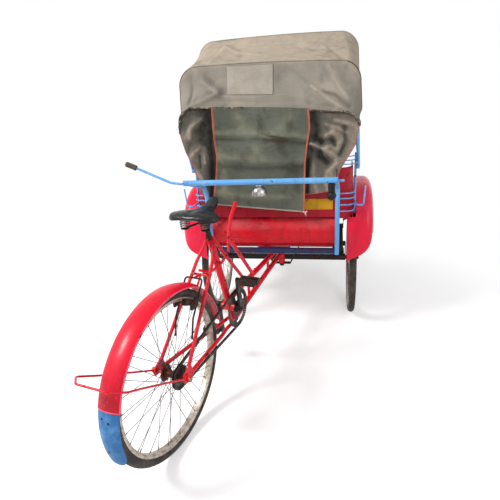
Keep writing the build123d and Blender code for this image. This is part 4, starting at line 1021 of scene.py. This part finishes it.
# the beads take the lighter pink as a painted highlight along the mudguard's edges
beads.make("guardBeads", [paints["beadHighlightPink"]], "rear_frame")
flap = Shape()
rows = []
for k in range(60):
    angle = guardLook["blue"] + (guardLook["end"] - guardLook["blue"]) * k / 59
    left = max(0.0, (angle - (guardLook["end"] - guardLook["cornerDegrees"])) / guardLook["cornerDegrees"])
    half = guardLook["half"] * (0.42 + 0.58 * math.sqrt(max(0.0, 1 - left ** 2.4)))
    rows.append([guardPoint(across, angle, 0.8 * rough(across, angle * 6, 0, 30.0))
                 for across in (half * (2 * c / 24 - 1) for c in range(25))])
flap.grid(rows)
mudFlap = thicken(flap.make("mudFlap", [paints["flapBlue"]], "rear_frame", 80), 0.0026)
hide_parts("mudguard_tip")
rivets = Shape()
for across, angle in ((-20, 167.0), (8, 168.5), (-12, 187.5)):
    place = guardPoint(across, angle, 0.2)
    outward = (place - rear(12, 0, 355)).normalized()
    rivets.lathe([(-0.001, 0.0), (-0.001, 0.0042), (0.0006, 0.0042), (0.0018, 0.0030), (0.0022, 0.0)],
                 place, outward, 14, loop=False)
rivets.make("guardRivets", [paints["steelBlack"]], "rear_frame")
print("mudguard done")

# Saddle: a wide sprung seat with a raised nose and ribs along its rear skirt
saddleLook = dict(
    # along the frame, half width, top, skirt foot, in millimetres
    sections=((238, 38, 948, 938), (242, 66, 953, 931), (252, 92, 959, 927), (268, 110, 963, 925),
              (288, 117, 964, 925), (308, 110, 962, 926), (330, 90, 958, 928), (352, 68, 954, 930),
              (376, 50, 952, 933),
              (400, 38, 954, 937), (424, 31, 961, 943), (446, 27, 972, 951), (462, 24, 980, 958),
              (470, 17, 980, 964), (474, 9, 976, 968)),
    columns=36, ribs=4)


def curved(table, count):
    # smooth points through a table's rows
    out = []
    for k in range(count + 1):
        spot = (len(table) - 1) * k / count
        i = min(len(table) - 2, int(spot))
        f = spot - i
        rows = [table[max(0, min(len(table) - 1, i + j))] for j in (-1, 0, 1, 2)]
        out.append(tuple(0.5 * (2 * b + (c - a) * f + (2 * a - 5 * b + 4 * c - d) * f * f +
                                (3 * b - a - 3 * c + d) * f ** 3) for a, b, c, d in zip(*rows)))
    return out


saddleForm = Shape()
rows = []
for s, half, top, foot in curved(saddleLook["sections"], 70):
    row = []
    for c in range(saddleLook["columns"] + 1):
        side = 2 * c / saddleLook["columns"] - 1
        lean = abs(side)
        if lean < 0.72:
            t = side / 0.72 * half * 0.93
            z = top - (top - foot) * 0.34 * (lean / 0.72) ** 2.6
            z -= 1.8 * math.exp(-((lean - 0.58) / 0.035) ** 2) + 1.4 * math.exp(-((lean - 0.4) / 0.03) ** 2)
            if s < 330:
                z -= 2.2 * math.exp(-(t / 16) ** 2)
        else:
            drop = (lean - 0.72) / 0.28
            t = math.copysign(half * (0.93 + 0.07 * math.sin(drop * math.pi / 2)), side)
            z = top - (top - foot) * (0.34 + 0.66 * drop)
            rib = math.sin(drop * math.pi * saddleLook["ribs"])
            t += math.copysign(3.0 * rib * max(0.0, min(1.0, (360 - s) / 60)), side)
        row.append(rear(t, s, z + 0.7 * rough(t, s, 0, 24.0)))
    under = [rear(half * 0.9 * (1 - 2 * k / 8), s, foot + 1 + (1 - (1 - 2 * k / 8) ** 2) * 3.0)
             for k in range(9)]
    rows.append(row + under)
saddleForm.grid(rows, loopColumns=True)
for row, order in ((rows[0], 1), (rows[-1], -1)):
    saddleForm.add(list(row), [tuple(range(len(row)))[::order]])
saddleTop = saddleForm.make("saddleTop", [vinyls["saddleVinyl"]], "rear_frame", 60)
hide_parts("saddle")

springLook = dict(spread=50.0, s=290.0, low=887.5, high=924.0, turns=4.0, coil=19.0, wire=2.5)
carrier = Shape()
carrier.tube([rear(0, 398, 803), rear(0, 381, 858), rear(0, 366, 930)], 0.0122, 20, 0)
for side, mark in ((-1, 1), (1, 2)):
    t, s, low, high = side * springLook["spread"], springLook["s"], springLook["low"], springLook["high"]
    coil = []
    for k in range(int(springLook["turns"] * 22) + 1):
        share = k / (springLook["turns"] * 22)
        turn = k * math.tau / 22
        r = springLook["coil"] * (0.94 + 0.10 * math.sin(math.pi * share))
        coil.append(rear(t + r * math.cos(turn), s + r * math.sin(turn), low + (high - low) * share))
    carrier.tube(coil, springLook["wire"] / 1000, 9, mark)
    for z, r in ((low - 3.5, 20), (high + 1.5, 20)):
        carrier.lathe([(-0.0014, 0.0), (-0.0014, r / 1000 - 0.001), (0, r / 1000), (0.0014, r / 1000 - 0.001),
                       (0.0014, 0.0)], rear(t, s, z), Vector((0, 0, 1)), 28, 3, loop=False)
    carrier.tube([rear(side * 4, 368, 894), rear(side * 30, 338, 888), rear(side * 46, 306, 884)],
                 0.0045, 9, 3)
    carrier.bolt(rear(t, s, low - 5), Vector((0, 0, -1)), 0.007, 0.005, 3)
    carrier.tube([rear(side * 9, 366, 904), rear(side * 12, 400, 916), rear(side * 8, 440, 948)],
                 0.0038, 9, 3)
clamp = [(-0.022, 0.0), (-0.022, 0.013), (-0.020, 0.015), (-0.006, 0.015), (-0.005, 0.0135)]
carrier.lathe(clamp + [(-x, r) for x, r in clamp[::-1]], rear(0, 369, 893), parkedAxis, 28, 3, loop=False)
for side in (1, -1):
    carrier.bolt(rear(side * 22, 369, 893), parkedAxis * side, 0.0095, 0.006, 2)
saddleSprings = carrier.make("saddleSprings", [paints["steelBlack"], metals["wheelSteel"],
                                               metals["springSteel"], paints["steelBlack"]], "rear_frame")
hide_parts("saddle_springs")
print("saddle done")


# Seat and back cushions: stuffed vinyl, swollen by cloth simulation, then piped along the seams
cushionLooks = {
    "seatCushion": dict(node="seat_cushion", shrink=(8.0, 8.0, 7.0), cap=0.020, round=0.030, fill=0.7,
                        channels=3, crown=0.006, seams=(0.2, 0.8), groove=0.008, grooveWidth=0.012),
    "backCushion": dict(node="back_cushion", shrink=(8.0, 7.0, 8.0), cap=0.012, round=0.022, fill=0.6,
                        channels=5, crown=0.004, seams=(0.72,), groove=0.008, grooveWidth=0.012)}


def roundedBlock(low, high, radius):
    form = bmesh.new()
    bmesh.ops.create_cube(form, size=1.0)
    for vert in form.verts:
        vert.co = Vector(tuple(l + (h - l) * (v + 0.5) for l, h, v in zip(low, high, vert.co)))
    bmesh.ops.bevel(form, geom=list(form.edges), offset=radius, segments=4, profile=0.5, affect="EDGES")
    mesh = bpy.data.meshes.new("block")
    form.to_mesh(mesh)
    form.free()
    return mesh


def swollen(obj, cap):
    # the recipe for stuffing: an even voxel skin, cloth under pressure, and a limit on how far a point moves
    bpy.context.view_layer.objects.active = obj
    skin = obj.modifiers.new("skin", "REMESH")
    skin.mode = "VOXEL"
    skin.voxel_size = 0.0065
    bpy.ops.object.modifier_apply(modifier="skin")
    start = [vert.co.copy() for vert in obj.data.vertices]
    cloth = obj.modifiers.new("stuffing", "CLOTH")
    cloth.settings.use_pressure = True
    cloth.settings.uniform_pressure_force = 4.0
    cloth.settings.effector_weights.gravity = 0.0
    scene = bpy.context.scene
    for step in range(1, 19):
        scene.frame_set(step)
    moved = obj.evaluated_get(bpy.context.evaluated_depsgraph_get()).to_mesh()
    places = [vert.co.copy() for vert in moved.vertices]
    obj.modifiers.remove(cloth)
    scene.frame_set(1)
    for vert, before, after in zip(obj.data.vertices, start, places):
        step = after - before
        if step.length > cap:
            step *= cap / step.length
        vert.co = before + step


for name, look in cushionLooks.items():
    low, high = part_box(look["node"])
    inset = [v / 1000 for v in look["shrink"]]
    block = roundedBlock([l + i for l, i in zip(low, inset)], [h - i for h, i in zip(high, inset)],
                         look["round"])
    piece = inScene(name, block)
    swollen(piece, look["cap"])
    size = [h - l for l, h in zip(low, high)]
    face = 2 if name == "seatCushion" else 1
    for axis in range(3):
        values = [vert.co[axis] for vert in piece.data.vertices]
        start, end = min(values), max(values)
        room = size[axis] - 0.0008 + (look["crown"] if axis == face else 0.0)
        for vert in piece.data.vertices:
            vert.co[axis] = low[axis] + 0.0004 + (vert.co[axis] - start) / (end - start) * room
    for vert in piece.data.vertices:
        share = (vert.co.x - low[0]) / size[0]
        lines = [(k + 1) / (look["channels"] + 1) for k in range(look["channels"])]
        groove = max(math.exp(-((share - at) * size[0] / look["grooveWidth"]) ** 2) for at in lines)
        upper = max(0.0, min(1.0, (vert.co[face] - low[face]) / size[face] * 2 - 0.9))
        vert.co[face] -= groove * look["groove"] * upper
        vert.co[face] += 0.0016 * rough(vert.co.x * 1000, vert.co.y * 1000, vert.co.z * 1000, 70.0) * upper
    for polygon in piece.data.polygons:
        polygon.use_smooth = True
    smooth = piece.modifiers.new("smooth", "SUBSURF")
    smooth.levels = smooth.render_levels = 1
    piece.data.materials.append(vinyls["seatVinyl"])
    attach(piece, "cabin")
    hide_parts(look["node"])
    skin = BVHTree.FromPolygons([vert.co.copy() for vert in piece.data.vertices],
                                [tuple(polygon.vertices) for polygon in piece.data.polygons])
    middle = Vector([(l + h) / 2 for l, h in zip(low, high)])
    piping = Shape()
    for along in look["seams"]:
        loop = []
        for k in range(160):
            turn = k * math.tau / 160
            a, b = math.cos(turn), math.sin(turn)
            target = Vector((size[0] * a, size[1] * b, 0) if face == 2 else (size[0] * a, 0, size[2] * b))
            begin = middle.copy()
            begin[face] = low[face] + size[face] * along
            hit = skin.ray_cast(begin + target, -target.normalized())[0]
            if hit:
                loop.append(hit + target.normalized() * 0.0008)
        piping.tube(loop, 0.0032, 8, loop=True)
    piping.make(name + "Piping", [vinyls["pipeVinyl"]])
print("cushions done")

# Number plate, left blank: a rolled rim and two bolts
low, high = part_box("number_plate")
rimLook = dict(radius=0.0018, corner=0.007)
plateRim = Shape()
face = low[1] - 0.0006
loop = []
for x, z, first in ((high[0], high[2], 0.0), (low[0], high[2], 0.25), (low[0], low[2], 0.5),
                    (high[0], low[2], 0.75)):
    cx = x + (rimLook["corner"] + 0.002) * (-1 if x == high[0] else 1)
    cz = z + (rimLook["corner"] + 0.002) * (-1 if z == high[2] else 1)
    for j in range(6):
        angle = math.tau * (first + 0.25 * j / 5)
        loop.append(Vector((cx + rimLook["corner"] * math.cos(angle), face,
                            cz + rimLook["corner"] * math.sin(angle))))
plateRim.tube(loop, rimLook["radius"], 7, loop=True)
for x in (-60, 60):
    plateRim.bolt(cabin(252 + x, -401.2, 842), Vector((0, -1, 0)), 0.0055, 0.0034, 1)
plateRim.make("plateRim", [paints["plateYellow"], metals["boltBronze"]])

# The bolt of the frame's bracket, the rear axle nuts and the back panel's bolts
fixings = Shape()
fixings.bolt(rear(0, 407, 752), -parkedAxis, 0.009, 0.012)
for side in (-1, 1):
    fixings.bolt(rear(side * 90.5, 0, 355), parkedAxis * side, 0.011, 0.006)
fixings.make("frameFixings", [metals["boltBronze"]], "rear_frame")
cabinBolts = Shape()
for x in (-300, -150, 0, 150, 300):
    cabinBolts.bolt(cabin(x, -399.4, 985), Vector((0, -1, 0)), 0.0032, 0.0022)
cabinBolts.make("cabinBolts", [metals["boltBronze"]])
print("fixings done")

# Stage: a pale floor that meets a white background, soft light and the camera
stageLook = dict(floorSize=60.0, floor=linear(236, 236, 236), lift=0.42, nearFloor=1.3, farFloor=2.0,
                 world=0.52, keyEnergy=230.0, keySize=1.6, fillEnergy=50.0, fillSize=3.0)


def shownTo(tree):
    # 1 for rays that the picture or a shiny or clear surface sees directly
    camera, glossy, clear = (addNode(tree, "ShaderNodeLightPath", out=name)
                             for name in ("Is Camera Ray", "Is Glossy Ray", "Is Transmission Ray"))
    return camera.most(glossy).most(clear)


def stageFinish():
    floor = Finish("stageFloor", Roughness=0.95)
    tree = floor.tree
    floor.feed("Base Color", floor.mix(stageLook["floor"], linear(236, 236, 234), floor.spots(2.0, 2.0)))
    glow, nothing = (addNode(tree, "ShaderNodeEmission", None, {1: power})
                     for power in (stageLook["lift"], 0.0))
    choice = addNode(tree, "ShaderNodeMixShader", None, {0: shownTo(tree), 1: nothing, 2: glow})
    both = addNode(tree, "ShaderNodeAddShader", None, {0: Wire(tree, floor.shader.outputs[0]), 1: choice})
    away = floor.node("ShaderNodeVectorMath", {"operation": "LENGTH"}, out="Value", Vector=floor.place)
    far = away.step(stageLook["nearFloor"], stageLook["farFloor"]) * shownTo(tree)
    white = addNode(tree, "ShaderNodeEmission")
    whole = addNode(tree, "ShaderNodeMixShader", None, {0: far, 1: both, 2: white})
    tree.links.new(whole.socket, floor.end.inputs["Surface"])
    return floor.material


half = stageLook["floorSize"] / 2
floorMesh = bpy.data.meshes.new("floor")
corners = ((-1, -1), (1, -1), (1, 1), (-1, 1))
floorMesh.from_pydata([(half * x, half * y, 0) for x, y in corners], [], [(0, 1, 2, 3)])
floorMesh.materials.append(stageFinish())
floor = inScene("floor", floorMesh)

world = bpy.data.worlds.new("studio")
bpy.context.scene.world = world
world.use_nodes = True
skyTree = world.node_tree
backdrop = skyTree.nodes["Background"]
backdrop.inputs[0].default_value = (0.97, 0.98, 1.0, 1)
backdrop.inputs[1].default_value = stageLook["world"]
white = addNode(skyTree, "ShaderNodeBackground", None, {0: (1.0, 1.0, 1.0, 1), 1: 1.0})
sky = addNode(skyTree, "ShaderNodeMixShader", None,
              {0: shownTo(skyTree), 1: Wire(skyTree, backdrop.outputs[0]), 2: white})
worldOut = next(n for n in skyTree.nodes if n.type == "OUTPUT_WORLD")
skyTree.links.new(sky.socket, worldOut.inputs[0])


def softLamp(name, place, target, size, energy):
    lamp = bpy.data.lights.new(name, "AREA")
    lamp.shape = "DISK"
    lamp.size = size
    lamp.energy = energy
    holder = inScene(name, lamp)
    holder.location = place
    holder.rotation_mode = "QUATERNION"
    holder.rotation_quaternion = (Vector(target) - Vector(place)).to_track_quat("-Z", "Y")


softLamp("keyLamp", (-3.4, -2.4, 4.4), (0, 0, 0.8), stageLook["keySize"], stageLook["keyEnergy"])
softLamp("fillLamp", (4.2, -2.6, 2.6), (0, 0, 0.8), stageLook["fillSize"], stageLook["fillEnergy"])

# The camera that was fitted to the photo: place in millimetres, degrees, and the rest in pixels
cameraLook = dict(place=(325.0, -2619.0, 1417.0), yaw=-11.8, pitch=20.8, roll=3.7, focal=419.8,
                  centre=(250.4, 249.6), picture=500)
eye = bpy.data.cameras.new("eye")
eye.sensor_width = 36.0
eye.lens = eye.sensor_width * cameraLook["focal"] / cameraLook["picture"]
eyeHolder = inScene("eye", eye)
yaw, pitch, roll = (math.radians(cameraLook[k]) for k in ("yaw", "pitch", "roll"))
ahead = Vector((math.sin(yaw) * math.cos(pitch), math.cos(yaw) * math.cos(pitch), -math.sin(pitch)))
across = Vector((math.cos(yaw), -math.sin(yaw), 0))
upward = across.cross(ahead)
rightHand = across * math.cos(roll) - upward * math.sin(roll)
topHand = upward * math.cos(roll) + across * math.sin(roll)
basis = Matrix((rightHand, topHand, -ahead)).transposed()
eyeHolder.matrix_world = Matrix.Translation(cabin(*cameraLook["place"])) @ basis.to_4x4()
middle = cameraLook["picture"] / 2
eye.shift_x = (middle - cameraLook["centre"][0]) / cameraLook["picture"]
eye.shift_y = (cameraLook["centre"][1] - middle) / cameraLook["picture"]
bpy.context.scene.camera = eyeHolder
bpy.context.scene.view_settings.view_transform = "Standard"
print("stage done")
